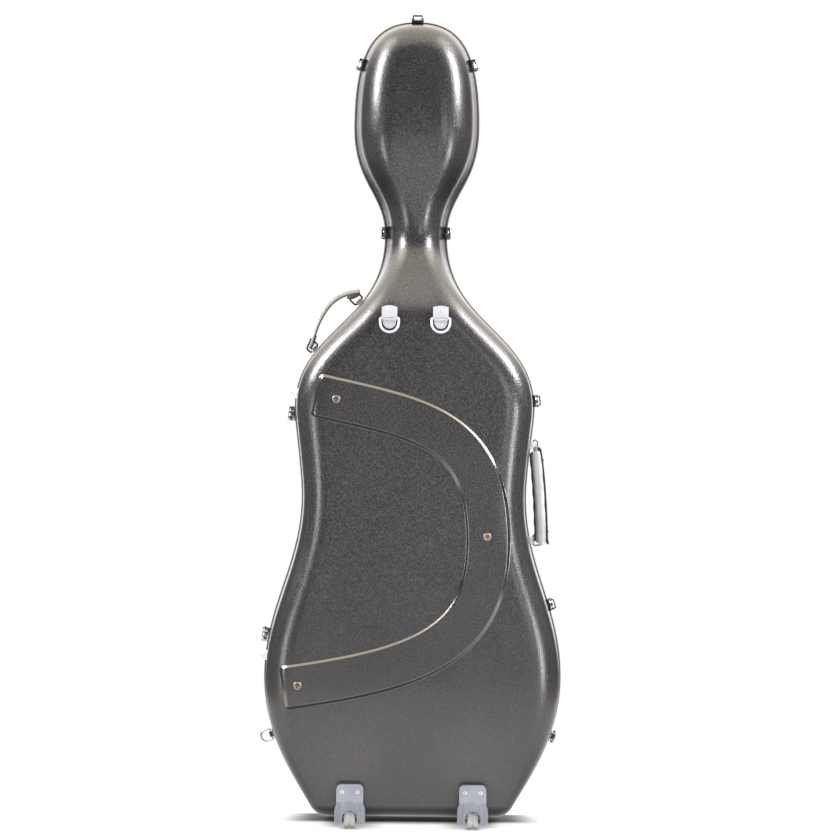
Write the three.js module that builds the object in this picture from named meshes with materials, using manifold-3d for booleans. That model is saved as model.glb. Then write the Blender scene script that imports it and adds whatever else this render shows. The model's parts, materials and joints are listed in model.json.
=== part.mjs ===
import * as THREE from "three";
import { mergeVertices } from "three/addons/utils/BufferGeometryUtils.js";
import Module from "manifold-3d";

// A cello hard case, standing upright on two wheels and two feet.
// Millimetres, +Z up. The back faces -Y, the lid faces +Y and the hinges are on the -X side.

// The top of the rim above the floor. Places up the case are shares of it.
const HEIGHT = 1372;
const heightAt = (share) => HEIGHT * share;

// Stations up the case. half: half width of the rim. round, roundDepth: the half axes of the
// rounded shell edge. draft: how far the wall leans in. back, lid: depths from the plane y = 0.
const BODY = { back: 140, lid: 145 };
const BOTTOM = { z: 10, half: 142, round: 26, roundDepth: 28, draft: 5, back: 112, lid: 118 };
const LOWER_BOUT = { z: heightAt(0.1793), half: 255, round: 48, roundDepth: 46, ...BODY };
const WAIST = { z: heightAt(0.4045), half: 193, round: 44, roundDepth: 46, ...BODY };
const UPPER_BOUT = { z: heightAt(0.5138), half: 206.5, round: 48, roundDepth: 46 };
const SHOULDER = { z: heightAt(0.6195), draft: 5, back: BODY.back };
const NECK = {
  z: heightAt(0.7311), half: 53.4, round: 40, roundDepth: 58, draft: 9, back: 50, lid: 102,
};
const HEAD = {
  z: heightAt(0.8681), half: 107.7, round: 58, roundDepth: 78, draft: 8, back: 72, lid: 98,
};
const TOP = { z: HEIGHT, round: 58, roundDepth: 78, draft: 8, back: 60, lid: 92 };
const STATIONS = [BOTTOM, LOWER_BOUT, WAIST, UPPER_BOUT, SHOULDER, NECK, HEAD, TOP];

// How far the outline's curves reach towards the next station, as shares of the height between.
const CORNER_RADIUS = 40;
const CORNER_TURN = THREE.MathUtils.degToRad(60);
const FLANK_SHARES = [0.3, 0.45];
const WAIST_SHARES = [0.394, 0.385];
const UPPER_SHARES = [0.316, 0.15];
const SHOULDER_SHARES = [0.468, 0.517];
const NECK_SHARES = [0.393, 0.534];
const CROWN_SHARES = [0.733, 0.41];
const HALF_STEPS = 27;
const BEND_LENGTH = 90;
const CURVE_SAMPLES = 60;

// Shells, liners and the rim where they meet.
const SEAM_Y = 55;
const WALL = 3;
const SHELL_EDGE = 3;
const CLEARANCE = 0.3;
const ROUND_STEPS = 4;
const INNER_ROUND_STEPS = 2;
const LINER_GAP = 0.4;
const LINER = 8;
const LID_ROUND_SHARE = 0.75;
const RIM_PROUD = 2.5;
const RIM_SKIN = 2.2;
const RIM_FLANGE = 10;
const RIM_LIP = 7;
const RIM_LIP_THICKNESS = 1.5;
const RIM_FACE = 1.2;
const SEAL = { inner: 1, outer: 5, half: 0.9 };

// The raised band on the back, a broad letter C. Its places are shares of the stations' sizes.
const BAND = {
  height: 3.5, bevel: 2.5, half: 34.5, below: 20,
  upperX: -UPPER_BOUT.half * 0.765, upperZ: heightAt(0.5306), upperSlope: -0.225,
  upperReach: UPPER_BOUT.half * 0.8, upperPull: heightAt(0.1458),
  apexX: WAIST.half * 0.653, apexZ: heightAt(0.3513),
  lowerX: -LOWER_BOUT.half * 0.8235, lowerZ: heightAt(0.1757), lowerSlope: 0.15,
  lowerReach: LOWER_BOUT.half * 0.784, lowerPull: heightAt(0.1312),
};
const BAND_STEPS = 9;

// Latches: the lever turns on two cheeks of the base, the bail hooks the keeper on the lid's rim.
const LATCH = {
  plateHalf: 10.2, plateFrom: -22, plateTo: -3, plateProud: 2, plateBelow: 5,
  cheekInner: 8.9, cheekOuter: 10.2, cheekReach: 3.2, cheekTop: 2.6,
  pivotW: -4, pivotV: 5, barRadius: 1.1, boreRadius: 1.4,
  wallOuter: 8.2, wallInner: 6.9, webLow: 3.6, webHigh: 5.1, wallLow: -1.9, nose: 1.9,
  brow: 0.95, mouthW: -9.8,
  tail: 21, bailW: -6, bailV: 0.8, wireRadius: 1, wireHalf: 5.5, wireSides: 6, barSides: 6,
  hookW: 12, hookV: 4, hookHalf: 4, hookFrom: 2, hookNeck: 6.5, hookHigh: 7, hookLip: 10.3,
  hookLow: 2, hookBelow: 4,
};
const RIM_LATCH = { sink: 0, back: 0, tilt: 0 };
const WALL_LATCH = { sink: 1.8, back: 12, tilt: THREE.MathUtils.degToRad(10) };
const LATCHES = [
  { name: "top", side: 1, z: TOP.z, seat: RIM_LATCH },
  { name: "head_left", side: -1, z: heightAt(0.9453), seat: WALL_LATCH },
  { name: "head_right", side: 1, z: heightAt(0.9453), seat: WALL_LATCH },
  { name: "neck_left", side: -1, z: heightAt(0.7347), seat: WALL_LATCH },
  { name: "neck_right", side: 1, z: heightAt(0.7347), seat: WALL_LATCH },
  { name: "upper_right", side: 1, z: heightAt(0.5255), seat: RIM_LATCH },
  { name: "lower_right", side: 1, z: heightAt(0.2704), seat: RIM_LATCH },
];

// Hinges, on one straight axis outside the rim.
const HINGE = {
  lowZ: heightAt(0.2296), highZ: heightAt(0.508), standoff: 7, half: 12, knuckle: 4, pin: 1.8,
  bore: 2.1, gap: 0.4,
  leafThickness: 2, leafFrom: 1.3, leafTo: 10.5, leafHalf: 11.6, inside: 6,
  headRadius: 3.2, head: 1.2, sides: 10,
};

// Wheels in their housings at the lower back corners, and feet in front. behind, before: how far
// a face lies behind or before the axle. fromSeam: how far a place lies behind the seam.
const WHEEL = {
  x: BOTTOM.half * 0.7254, fromBack: 11, radius: 20, half: 9.7, rim: 2, groove: 1.4,
  grooveHalf: 2.2, hub: 2.9, sides: 14,
};
const WHEEL_Y = WHEEL.fromBack - BODY.back;
const AXLE = { radius: 2.5, bore: 2.9, sides: 10, inset: 1 };
const HOUSING = {
  topHalf: 22.5, baseHalf: 25.5, waistZ: 37, base: 11, top: 74, corner: 8,
  behind: 23, before: 35, shoulderZ: 46, topBehind: 3, wellHalf: 12, wellRadius: 22.6,
  archHalf: 12.5, archTop: 32,
  fender: 1.6, fenderHalf: 17, fenderTop: 48, fenderDeep: 14,
};
const FOOT = { x: BOTTOM.half * 0.7465, fromSeam: 28, radius: 15, height: 20, chamfer: 2, sides: 16 };

// Plates and rings for a carrying harness on the upper back, and rings at the lower sides.
const RING_PLATE = {
  x: UPPER_BOUT.half * 0.2082, z: heightAt(0.6239), half: 13, rise: 22, crown: 3,
  lowerHalf: 11.6, drop: 22, thickness: 2, below: 12,
  hump: 5.6, humpHalf: 4.2, bore: 2.9, tilt: THREE.MathUtils.degToRad(11),
};
const D_RING = { wire: 2.2, half: 15.6, reach: 23, barV: 3, sides: 6, steps: 9 };
const SIDE_RING = {
  fromSeam: 77, z: heightAt(0.1093), plateHalf: 9, plateDeep: 11, plateProud: 2, plateBelow: 14,
  eyeHalf: 4.5,
  eye: 3.4, bore: 1.9, wire: 1.5, half: 9.5, reach: 18, barV: 5.6, sides: 6, steps: 9,
  restLean: 80,
};

const SIDE_RING_Y = SEAM_Y - SIDE_RING.fromSeam;

// Handles, each a padded grip on two wire loops that turn in two brackets. rise: how far a place
// lies above the handle's height z. out: how far it lies outside the rim there.
const HANDLE_FROM_SEAM = 50;
const HANDLE_Y = SEAM_Y - HANDLE_FROM_SEAM;
const SIDE_HANDLE = {
  side: 1, z: heightAt(0.4111), low: { rise: -85, out: 16.5 }, top: { rise: 71, out: 9.8 },
  from: { rise: -81, out: 3.9 }, to: { rise: 81, out: 4.1 }, fromReach: 13.5, toReach: 6,
  halfX: 9, halfY: 14, corner: 6, bow: 2, steps: 6,
};
const SHOULDER_HANDLE = {
  side: -1, z: heightAt(0.6178), start: { rise: 58.4, out: 13.6 }, end: { rise: -30.6, out: 16.3 },
  from: { rise: 40.9, out: 3.1 }, to: { rise: -40.9, out: 2.2 }, fromReach: 14, toReach: 11,
  startReach: 56, endReach: 46, endLean: 0.3, thickness: 7.5, halfY: 13, steps: 10,
  pad: { rise: 51.4, out: 20.9 }, padHalf: 12, padThick: 5.5,
};
const PAD_TURN = THREE.MathUtils.degToRad(22);
const LOOP = { wire: 1.5, half: 9, sides: 6 };
const BRACKET = {
  half: 6, deep: 12, face: -3, below: 16, eye: 3.2, bore: 1.9, webDeep: 3.6, sides: 8,
};
const BUMPER = {
  fromSeam: 63, lowZ: heightAt(0.2034), highZ: heightAt(0.5306), base: 9, tip: 6.5, proud: 10.5,
  sides: 14, below: 20,
};

// Inside: what carries the cello and the bows. lowFromSeam and its like: how far behind the seam
// a piece starts, ends or is cut. fromBack: how far a face lies before the flat of the back.
const NECK_CRADLE = {
  z: heightAt(0.7332), halfZ: 21, half: NECK.half * 0.637, lowFromSeam: 115, highFromSeam: 29,
  notchHalf: 17, notchFromSeam: 61,
};
const NECK_STRAP = { halfZ: 10, half: NECK.half * 0.5618, thickness: 2.2 };
const UPPER_PAD = {
  z: heightAt(0.4956), halfZ: 40, half: UPPER_BOUT.half * 0.3487, fromBack: 36, channel: 22,
  channelDeep: 10,
};
const ENDPIN_PAD = {
  lowFromSeam: 117, highFromSeam: 23, half: BOTTOM.half * 0.338, height: 30, slotHalf: 16,
  slotFromSeam: 77,
};
const POUCH = {
  inX: WAIST.half * 0.663, outX: LOWER_BOUT.half, z: heightAt(0.4082), halfZ: 65, fromBack: 18,
  highFromSeam: 77, flap: 2.5, flapDrop: 60,
};
const BOW_CLIP = {
  x: WAIST.half * 0.2383, post: 5, bore: 5.4, postInset: 6, length: 30, width: 11, thickness: 5,
  neck: 10, sides: 12,
};
const BOW_BAR = { z: heightAt(0.4373), past: 26, halfZ: 8, thickness: 8 };
const BOW_POCKET = {
  z: heightAt(0.2157), halfZ: 34, past: 28, height: 27, slotHalf: 13, slotDeep: 15, roof: 4,
};

// One length that cuts run past the surfaces they open, and how near points are one point.
const OVERRUN = 30;
const SAME_POINT = 1e-4;

const COLOURS = {
  shell: { color: 0x5a5a5c, roughness: 0.55, metalness: 0 },
  rim: { color: 0x3a322c, roughness: 0.4, metalness: 0.1 },
  rubber: { color: 0x1d1d1f, roughness: 0.8, metalness: 0 },
  lining: { color: 0x3c3f4a, roughness: 0.95, metalness: 0 },
  pad: { color: 0x2c2e36, roughness: 0.95, metalness: 0 },
  nickel: { color: 0xc8c8ca, roughness: 0.25, metalness: 1 },
  black: { color: 0x1c1b1b, roughness: 0.4, metalness: 0.2 },
  whitePlate: { color: 0xe2e2e8, roughness: 0.35, metalness: 0.1 },
  housing: { color: 0xb8bbc6, roughness: 0.45, metalness: 0 },
  wheel: { color: 0x9c9ea4, roughness: 0.3, metalness: 0 },
  grip: { color: 0xc8cccb, roughness: 0.6, metalness: 0 },
  bumper: { color: 0xe4e4e2, roughness: 0.35, metalness: 0 },
  strap: { color: 0x24242a, roughness: 0.9, metalness: 0 },
};

const wasm = await Module();
wasm.setup();

// Solids and geometries

function solidOf(geometry) {
  const bare = geometry.clone();
  bare.deleteAttribute("normal");
  bare.deleteAttribute("uv");
  const merged = mergeVertices(bare, SAME_POINT);
  const vertProperties = new Float32Array(merged.attributes.position.array);
  const triVerts = new Uint32Array(merged.index.array);
  return new wasm.Manifold(new wasm.Mesh({ numProp: 3, vertProperties, triVerts }));
}

function geometryOf(solid) {
  const mesh = solid.getMesh();
  const geometry = new THREE.BufferGeometry();
  geometry.setAttribute("position", new THREE.BufferAttribute(mesh.vertProperties, 3));
  geometry.setIndex(new THREE.BufferAttribute(mesh.triVerts, 1));
  return geometry;
}

function join(...solids) {
  return solids.reduce((all, next) => all.add(next));
}

function moved(solid, matrix) {
  return solidOf(geometryOf(solid).applyMatrix4(matrix));
}

function box([x0, x1], [y0, y1], [z0, z1]) {
  const geometry = new THREE.BoxGeometry(x1 - x0, y1 - y0, z1 - z0);
  return solidOf(geometry.translate((x0 + x1) / 2, (y0 + y1) / 2, (z0 + z1) / 2));
}

// A round bar between two points.
function rod(from, to, radius, sides = 10, endRadius = radius) {
  const along = new THREE.Vector3().subVectors(to, from);
  const geometry = new THREE.CylinderGeometry(endRadius, radius, along.length(), sides);
  const turn = new THREE.Quaternion().setFromUnitVectors(
    new THREE.Vector3(0, 1, 0), along.clone().normalize());
  geometry.applyQuaternion(turn);
  return solidOf(geometry.translate(...from.clone().add(to).divideScalar(2).toArray()));
}

// A round bar along the X axis, centred on (y, z).
function barX([x0, x1], y, z, radius, sides = 12) {
  return rod(new THREE.Vector3(x0, y, z), new THREE.Vector3(x1, y, z), radius, sides);
}

function shapeOf(points) {
  return new THREE.Shape(points.map(([a, b]) => new THREE.Vector2(a, b)));
}

// An outline in (y, z), extruded along X.
function extrudeX(shape, [x0, x1], curveSegments = 6) {
  const geometry = new THREE.ExtrudeGeometry(shape, {
    depth: x1 - x0, bevelEnabled: false, curveSegments,
  });
  const axes = new THREE.Matrix4().makeBasis(
    new THREE.Vector3(0, 1, 0), new THREE.Vector3(0, 0, 1), new THREE.Vector3(1, 0, 0));
  return solidOf(geometry.applyMatrix4(axes).translate(x0, 0, 0));
}

// An outline in (x, z), extruded along Y.
function extrudeY(shape, [y0, y1], curveSegments = 6, bevel = 0) {
  const geometry = new THREE.ExtrudeGeometry(shape, {
    depth: y1 - y0 - 2 * bevel, bevelEnabled: bevel > 0, bevelThickness: bevel,
    bevelSize: bevel, bevelOffset: -bevel, bevelSegments: 1, curveSegments,
  });
  const axes = new THREE.Matrix4().makeBasis(
    new THREE.Vector3(1, 0, 0), new THREE.Vector3(0, 0, 1), new THREE.Vector3(0, -1, 0));
  return solidOf(geometry.applyMatrix4(axes).translate(0, y1 - bevel, 0));
}

function indexed(points, faces) {
  const geometry = new THREE.BufferGeometry();
  geometry.setAttribute("position", new THREE.Float32BufferAttribute(points.flat(), 3));
  geometry.setIndex(faces);
  return geometry;
}

// A solid from rings of points, each ring joined to the next one.
function loft(rings, closed) {
  const count = rings[0].length;
  const faces = [];
  rings.slice(closed ? 0 : 1).forEach((_, i) => {
    const [low, high] = closed ? [i, (i + 1) % rings.length] : [i, i + 1];
    for (let j = 0; j < count; j += 1) {
      const k = (j + 1) % count;
      const [a, b, c, d] = [low * count + j, high * count + j, high * count + k, low * count + k];
      faces.push(a, b, c, a, c, d);
    }
  });
  if (!closed) {
    const end = (rings.length - 1) * count;
    for (let j = 1; j < count - 1; j += 1) {
      faces.push(0, j, j + 1, end, end + j + 1, end + j);
    }
  }
  const solid = solidOf(indexed(rings.flat(), faces));
  return solid.volume() > 0 ? solid : solidOf(indexed(rings.flat(), faces.reverse()));
}

// A round wire through points of one plane, mitred at its bends.
function wire(points, normal, radius, sides, closed = false) {
  const last = points.length - 1;
  const rings = points.map((point, i) => {
    const before = points[i === 0 && closed ? last : Math.max(i - 1, 0)];
    const after = points[i === last && closed ? 0 : Math.min(i + 1, last)];
    const into = point.clone().sub(before).normalize();
    const onward = after.clone().sub(point).normalize();
    const along = into.clone().add(onward).normalize();
    const stretch = 1 / Math.max(along.dot(into), along.dot(onward));
    const across = new THREE.Vector3().crossVectors(normal, along).multiplyScalar(stretch);
    return Array.from({ length: sides }, (_, k) => {
      const angle = 2 * Math.PI * ((k + 1 / 2) / sides);
      return point.clone()
        .addScaledVector(normal, radius * Math.sin(angle))
        .addScaledVector(across, radius * Math.cos(angle)).toArray();
    });
  });
  return loft(rings, closed);
}

// The outline of the rim

function cubicUp(path, from, to, shares) {
  const height = to.z - from.z;
  path.bezierCurveTo(from.half, from.z + shares[0] * height,
    to.half, to.z - shares[1] * height, to.half, to.z);
}

// The right half of the rim, from the flat bottom to the middle of the top.
function halfOutline() {
  const path = new THREE.Path();
  path.moveTo(BOTTOM.half, BOTTOM.z);
  path.absarc(BOTTOM.half, BOTTOM.z + CORNER_RADIUS, CORNER_RADIUS,
    -Math.PI / 2, CORNER_TURN - Math.PI / 2, false);
  const start = path.currentPoint.clone();
  const height = LOWER_BOUT.z - start.y;
  path.bezierCurveTo(
    start.x + FLANK_SHARES[0] * height * Math.cos(CORNER_TURN),
    start.y + FLANK_SHARES[0] * height * Math.sin(CORNER_TURN),
    LOWER_BOUT.half, LOWER_BOUT.z - FLANK_SHARES[1] * height,
    LOWER_BOUT.half, LOWER_BOUT.z);
  cubicUp(path, LOWER_BOUT, WAIST, WAIST_SHARES);
  cubicUp(path, WAIST, UPPER_BOUT, UPPER_SHARES);
  cubicUp(path, UPPER_BOUT, NECK, SHOULDER_SHARES);
  cubicUp(path, NECK, HEAD, NECK_SHARES);
  const crown = TOP.z - HEAD.z;
  path.bezierCurveTo(HEAD.half, HEAD.z + CROWN_SHARES[0] * crown,
    CROWN_SHARES[1] * crown, TOP.z, 0, TOP.z);
  return path.curves;
}

const OUTLINE = halfOutline();

// A place on the rim: its point, and the way along it going round anticlockwise from below.
function place(curve, t) {
  const point = curve.getPoint(t);
  const along = curve.getTangent(t);
  return { x: point.x, z: point.y, ax: along.x, az: along.y };
}

function mirrored(at) {
  return { x: -at.x, z: at.z, ax: at.ax, az: -at.az };
}

// The place on the right half at height z.
function placeAt(z) {
  const curve = OUTLINE.find((piece) => z <= piece.getPoint(1).y);
  let low = 0;
  let high = 1;
  for (let i = 0; i < CURVE_SAMPLES; i += 1) {
    const middle = (low + high) / 2;
    if (curve.getPoint(middle).y < z) low = middle;
    else high = middle;
  }
  return place(curve, (low + high) / 2);
}

// Places all round the rim, closer together where it bends.
function rimPlaces() {
  const samples = [];
  let total = 0;
  OUTLINE.forEach((curve) => {
    for (let i = 0; i <= CURVE_SAMPLES; i += 1) {
      const at = place(curve, i / CURVE_SAMPLES);
      const last = samples[samples.length - 1];
      if (last) {
        const turn = Math.abs(Math.atan2(last.ax * at.az - last.az * at.ax,
          last.ax * at.ax + last.az * at.az));
        total += Math.hypot(at.x - last.x, at.z - last.z) + BEND_LENGTH * turn;
      }
      samples.push({ ...at, curve, t: i / CURVE_SAMPLES, length: total });
    }
  });
  const right = [];
  for (let i = 0; i <= HALF_STEPS; i += 1) {
    const wanted = total * (i / HALF_STEPS);
    const next = samples.findIndex((sample) => sample.length >= wanted);
    const after = samples[Math.max(next, 1)];
    const before = samples[Math.max(next, 1) - 1];
    const share = (wanted - before.length) / Math.max(after.length - before.length, Number.EPSILON);
    const t = before.curve === after.curve ? THREE.MathUtils.lerp(before.t, after.t, share) : 0;
    right.push(place(after.curve, t));
  }
  const left = right.slice(0, HALF_STEPS).reverse().map(mirrored);
  return [...right, ...left];
}

const RIM = rimPlaces();

// A named size at height z, eased between the stations that state it.
function sizeAt(name, z) {
  const stated = STATIONS.filter((station) => name in station);
  const above = stated.findIndex((station) => station.z >= z);
  if (above === 0) return stated[0][name];
  if (above < 0) return stated[stated.length - 1][name];
  const [from, to] = [stated[above - 1], stated[above]];
  const share = THREE.MathUtils.smoothstep(z, from.z, to.z);
  return THREE.MathUtils.lerp(from[name], to[name], share);
}

// The two halves

const BACK = { name: "back", facing: -1 };
const LID = { name: "lid", facing: 1 };

// The section of a half at one place of the rim: pairs of inset and y, from the seam to the flat.
function section(half, at, grow, edge, steps) {
  const round = sizeAt("round", at.z);
  const draft = sizeAt("draft", at.z);
  const inset = RIM_PROUD + draft + round;
  const depth = sizeAt(half.name, at.z + at.ax * inset);
  const most = half === LID ? LID_ROUND_SHARE * (depth - SEAM_Y) : depth;
  const roundDepth = Math.min(sizeAt("roundDepth", at.z), most);
  const centreY = half.facing * (depth - roundDepth);
  const startY = SEAM_Y + half.facing * edge;
  const leaned = draft * Math.abs((startY - SEAM_Y) / (centreY - SEAM_Y));
  const pairs = [[RIM_PROUD - grow + leaned, startY]];
  for (let i = 0; i <= steps; i += 1) {
    const angle = (Math.PI / 2) * (i / steps);
    pairs.push([
      inset - (round + grow) * Math.cos(angle),
      centreY + half.facing * (roundDepth + grow) * Math.sin(angle),
    ]);
  }
  return pairs;
}

// A point at an inset from the rim.
function insetPoint(at, inset, y) {
  return [at.x - at.az * inset, y, at.z + at.ax * inset];
}

// A half as a solid, grown outwards by `grow`, from `edge` beyond the seam to its flat.
function halfBody(half, grow, edge, steps = ROUND_STEPS) {
  const count = RIM.length;
  const sections = RIM.map((at) => section(half, at, grow, edge, steps));
  const rings = sections[0].length;
  const points = [];
  for (let ring = 0; ring < rings; ring += 1) {
    RIM.forEach((at, i) => points.push(insetPoint(at, ...sections[i][ring])));
  }
  const faces = [];
  const triangle = half === LID
    ? (a, b, c) => faces.push(a, c, b)
    : (a, b, c) => faces.push(a, b, c);
  for (let ring = 0; ring < rings - 1; ring += 1) {
    for (let i = 0; i < count; i += 1) {
      const [a, b] = [ring * count + i, ring * count + ((i + 1) % count)];
      triangle(a, b, b + count);
      triangle(a, b + count, a + count);
    }
  }
  const rim = points.slice(0, count).map(([x, , z]) => new THREE.Vector2(x, z));
  THREE.ShapeUtils.triangulateShape(rim, []).forEach(([a, b, c]) => triangle(a, c, b));
  const flat = (rings - 1) * count;
  for (let i = 0; i < HALF_STEPS; i += 1) {
    const [right, above] = [flat + i, flat + i + 1];
    const [left, leftAbove] = [flat + count - 1 - i, flat + count - 2 - i];
    triangle(right, above, left);
    if (i < HALF_STEPS - 1) triangle(above, leftAbove, left);
  }
  return solidOf(indexed(points, faces));
}

// A strip that follows the whole rim: its section is a closed loop of inset and y.
function rimStrip(pairs) {
  return loft(RIM.map((at) => pairs.map(([inset, y]) => insetPoint(at, inset, y))), true);
}

function shellOf(half) {
  return halfBody(half, 0, SHELL_EDGE).subtract(halfBody(half, -WALL, 0, INNER_ROUND_STEPS));
}

function linerOf(half) {
  const outer = halfBody(half, -WALL - LINER_GAP, SHELL_EDGE, INNER_ROUND_STEPS);
  return outer.subtract(halfBody(half, -WALL - LINER_GAP - LINER, 0, INNER_ROUND_STEPS));
}

function valanceOf(half) {
  const y = (depth) => SEAM_Y + half.facing * depth;
  return rimStrip([
    [0, y(RIM_FACE)],
    [RIM_LIP, y(RIM_FACE)],
    [RIM_LIP, y(RIM_FACE + RIM_LIP_THICKNESS)],
    [RIM_SKIN, y(RIM_FACE + RIM_LIP_THICKNESS)],
    [RIM_SKIN, y(RIM_FACE + RIM_FLANGE)],
    [0, y(RIM_FACE + RIM_FLANGE)],
  ]);
}

// All that lies inside the rim line, past both valances.
function rimBlock() {
  const shape = shapeOf(RIM.map((at) => {
    const [x, , z] = insetPoint(at, -CLEARANCE, 0);
    return [x, z];
  }));
  const reach = RIM_FACE + RIM_FLANGE + OVERRUN;
  return extrudeY(shape, [SEAM_Y - reach, SEAM_Y + reach]);
}

// What seats on a shell is cut to its surface, and what lies inside is cut to the liner.
const SEATS = {
  back: halfBody(BACK, CLEARANCE, 0),
  lid: halfBody(LID, CLEARANCE, 0),
  rim: rimBlock(),
};
const ROOMS = {
  back: halfBody(BACK, -WALL - LINER_GAP - LINER - CLEARANCE, 0, INNER_ROUND_STEPS),
  lid: halfBody(LID, -WALL - LINER_GAP - LINER - CLEARANCE, 0, INNER_ROUND_STEPS),
};

// Frames: X along the rim, Y outwards, Z towards the lid.
function rimFrame(at, y, out = 0) {
  const along = new THREE.Vector3(at.ax, 0, at.az);
  const outwards = new THREE.Vector3(at.az, 0, -at.ax);
  return new THREE.Matrix4()
    .makeBasis(along, outwards, new THREE.Vector3(0, 1, 0))
    .setPosition(at.x + outwards.x * out, y, at.z + outwards.z * out);
}

function shifted(frame, x, y, z) {
  return frame.clone().multiply(new THREE.Matrix4().makeTranslation(x, y, z));
}

function turned(frame, angle) {
  return frame.clone().multiply(new THREE.Matrix4().makeRotationX(angle));
}

// The scene graph

const root = new THREE.Group();
root.name = "cello_hard_case";

// A piece is stored in its own frame, whose X axis is the axis it turns on where it moves.
function piece(name, solid, look, frame = new THREE.Matrix4()) {
  const geometry = geometryOf(solid).applyMatrix4(frame.clone().invert());
  geometry.computeVertexNormals();
  const mesh = new THREE.Mesh(geometry, new THREE.MeshStandardMaterial(look));
  mesh.name = name;
  mesh.applyMatrix4(frame);
  root.add(mesh);
}

// Shell pieces

function bandCentre() {
  const upper = new THREE.CubicBezierCurve(
    new THREE.Vector2(BAND.upperX, BAND.upperZ),
    new THREE.Vector2(
      BAND.upperX + BAND.upperReach, BAND.upperZ + BAND.upperReach * BAND.upperSlope),
    new THREE.Vector2(BAND.apexX, BAND.apexZ + BAND.upperPull),
    new THREE.Vector2(BAND.apexX, BAND.apexZ));
  const lower = new THREE.CubicBezierCurve(
    new THREE.Vector2(BAND.apexX, BAND.apexZ),
    new THREE.Vector2(BAND.apexX, BAND.apexZ - BAND.lowerPull),
    new THREE.Vector2(
      BAND.lowerX + BAND.lowerReach, BAND.lowerZ + BAND.lowerReach * BAND.lowerSlope),
    new THREE.Vector2(BAND.lowerX, BAND.lowerZ));
  return [upper, lower];
}

function raisedBand() {
  const edges = { outer: [], inner: [] };
  bandCentre().forEach((curve, part) => {
    for (let i = part; i <= BAND_STEPS; i += 1) {
      const point = curve.getPoint(i / BAND_STEPS);
      const along = curve.getTangent(i / BAND_STEPS);
      const across = new THREE.Vector2(-along.y, along.x).multiplyScalar(BAND.half);
      edges.outer.push(point.clone().add(across).toArray());
      edges.inner.push(point.clone().sub(across).toArray());
    }
  });
  const shape = shapeOf([...edges.outer, ...edges.inner.reverse()]);
  const face = -(WAIST.back + BAND.height);
  const ribbon = extrudeY(shape, [face, face + BAND.below], 1, BAND.bevel);
  return ribbon.intersect(halfBody(BACK, BAND.height, SHELL_EDGE));
}

function backShell() {
  const outer = halfBody(BACK, 0, SHELL_EDGE).add(raisedBand());
  return outer.subtract(halfBody(BACK, -WALL, 0, INNER_ROUND_STEPS));
}

// Latches

// The three frames of a latch: its place on the rim, the lever's pivot and the bail's pivot.
function latchFrames({ side, z, seat }) {
  const at = z >= TOP.z ? place(OUTLINE[OUTLINE.length - 1], 1) : placeAt(z);
  const rim = rimFrame(side > 0 ? at : mirrored(at), SEAM_Y);
  const lever = turned(
    shifted(rim, 0, LATCH.pivotV - seat.sink, LATCH.pivotW - seat.back), -seat.tilt);
  const bail = shifted(lever, 0, LATCH.bailV, LATCH.bailW);
  return { rim, lever, bail };
}

// The base plate and its two cheeks, part of the back valance.
function latchBase(latch) {
  const { lever } = latchFrames(latch);
  const from = LATCH.plateFrom - LATCH.pivotW;
  const to = LATCH.plateTo - LATCH.pivotW;
  const face = LATCH.plateProud - LATCH.pivotV;
  const half = LATCH.plateHalf;
  const plate = box([-half, half], [face - LATCH.plateBelow, face], [from, to + latch.seat.back]);
  const low = face - LATCH.plateProud / 2;
  const cheek = extrudeX(shapeOf([
    [low, -LATCH.cheekReach - LATCH.cheekTop],
    [LATCH.cheekTop, -LATCH.cheekTop],
    [LATCH.cheekTop, LATCH.cheekTop],
    [low, to],
  ]), [LATCH.cheekInner, LATCH.cheekOuter]);
  const other = moved(cheek, new THREE.Matrix4().makeTranslation(
    -LATCH.cheekInner - LATCH.cheekOuter, 0, 0));
  const bore = barX([-half - OVERRUN, half + OVERRUN], 0, 0, LATCH.boreRadius, LATCH.barSides);
  return moved(join(plate, cheek, other).subtract(bore), lever).subtract(SEATS.back);
}

// The lever: a channel with a stub axle at each side, ear holes for the bail and a mouth in its web,
// through which the bail swings out.
function latchLever() {
  const { wallOuter, wallInner, webLow, webHigh, wallLow, nose, brow, mouthW, tail } = LATCH;
  const side = shapeOf([
    [wallLow, -tail / 2], [wallLow, nose], [webLow, brow],
    [webHigh, 0], [webHigh, -tail], [webLow, -tail],
  ]);
  const body = extrudeX(side, [-wallOuter, wallOuter]);
  const inside = box(
    [-wallInner, wallInner], [wallLow - OVERRUN, webLow], [-tail - OVERRUN, OVERRUN]);
  const mouth = box(
    [-wallInner, wallInner], [webLow - LATCH.wireRadius, webHigh + OVERRUN], [mouthW, OVERRUN]);
  const stub = barX([wallInner, LATCH.cheekOuter], 0, 0, LATCH.barRadius, LATCH.barSides);
  const otherStub = barX([-LATCH.cheekOuter, -wallInner], 0, 0, LATCH.barRadius,
    LATCH.barSides);
  const ears = barX([-wallOuter - OVERRUN, wallOuter + OVERRUN], LATCH.bailV, LATCH.bailW,
    LATCH.wireRadius + CLEARANCE, LATCH.wireSides);
  return join(body.subtract(inside).subtract(mouth), stub, otherStub).subtract(ears);
}

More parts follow.
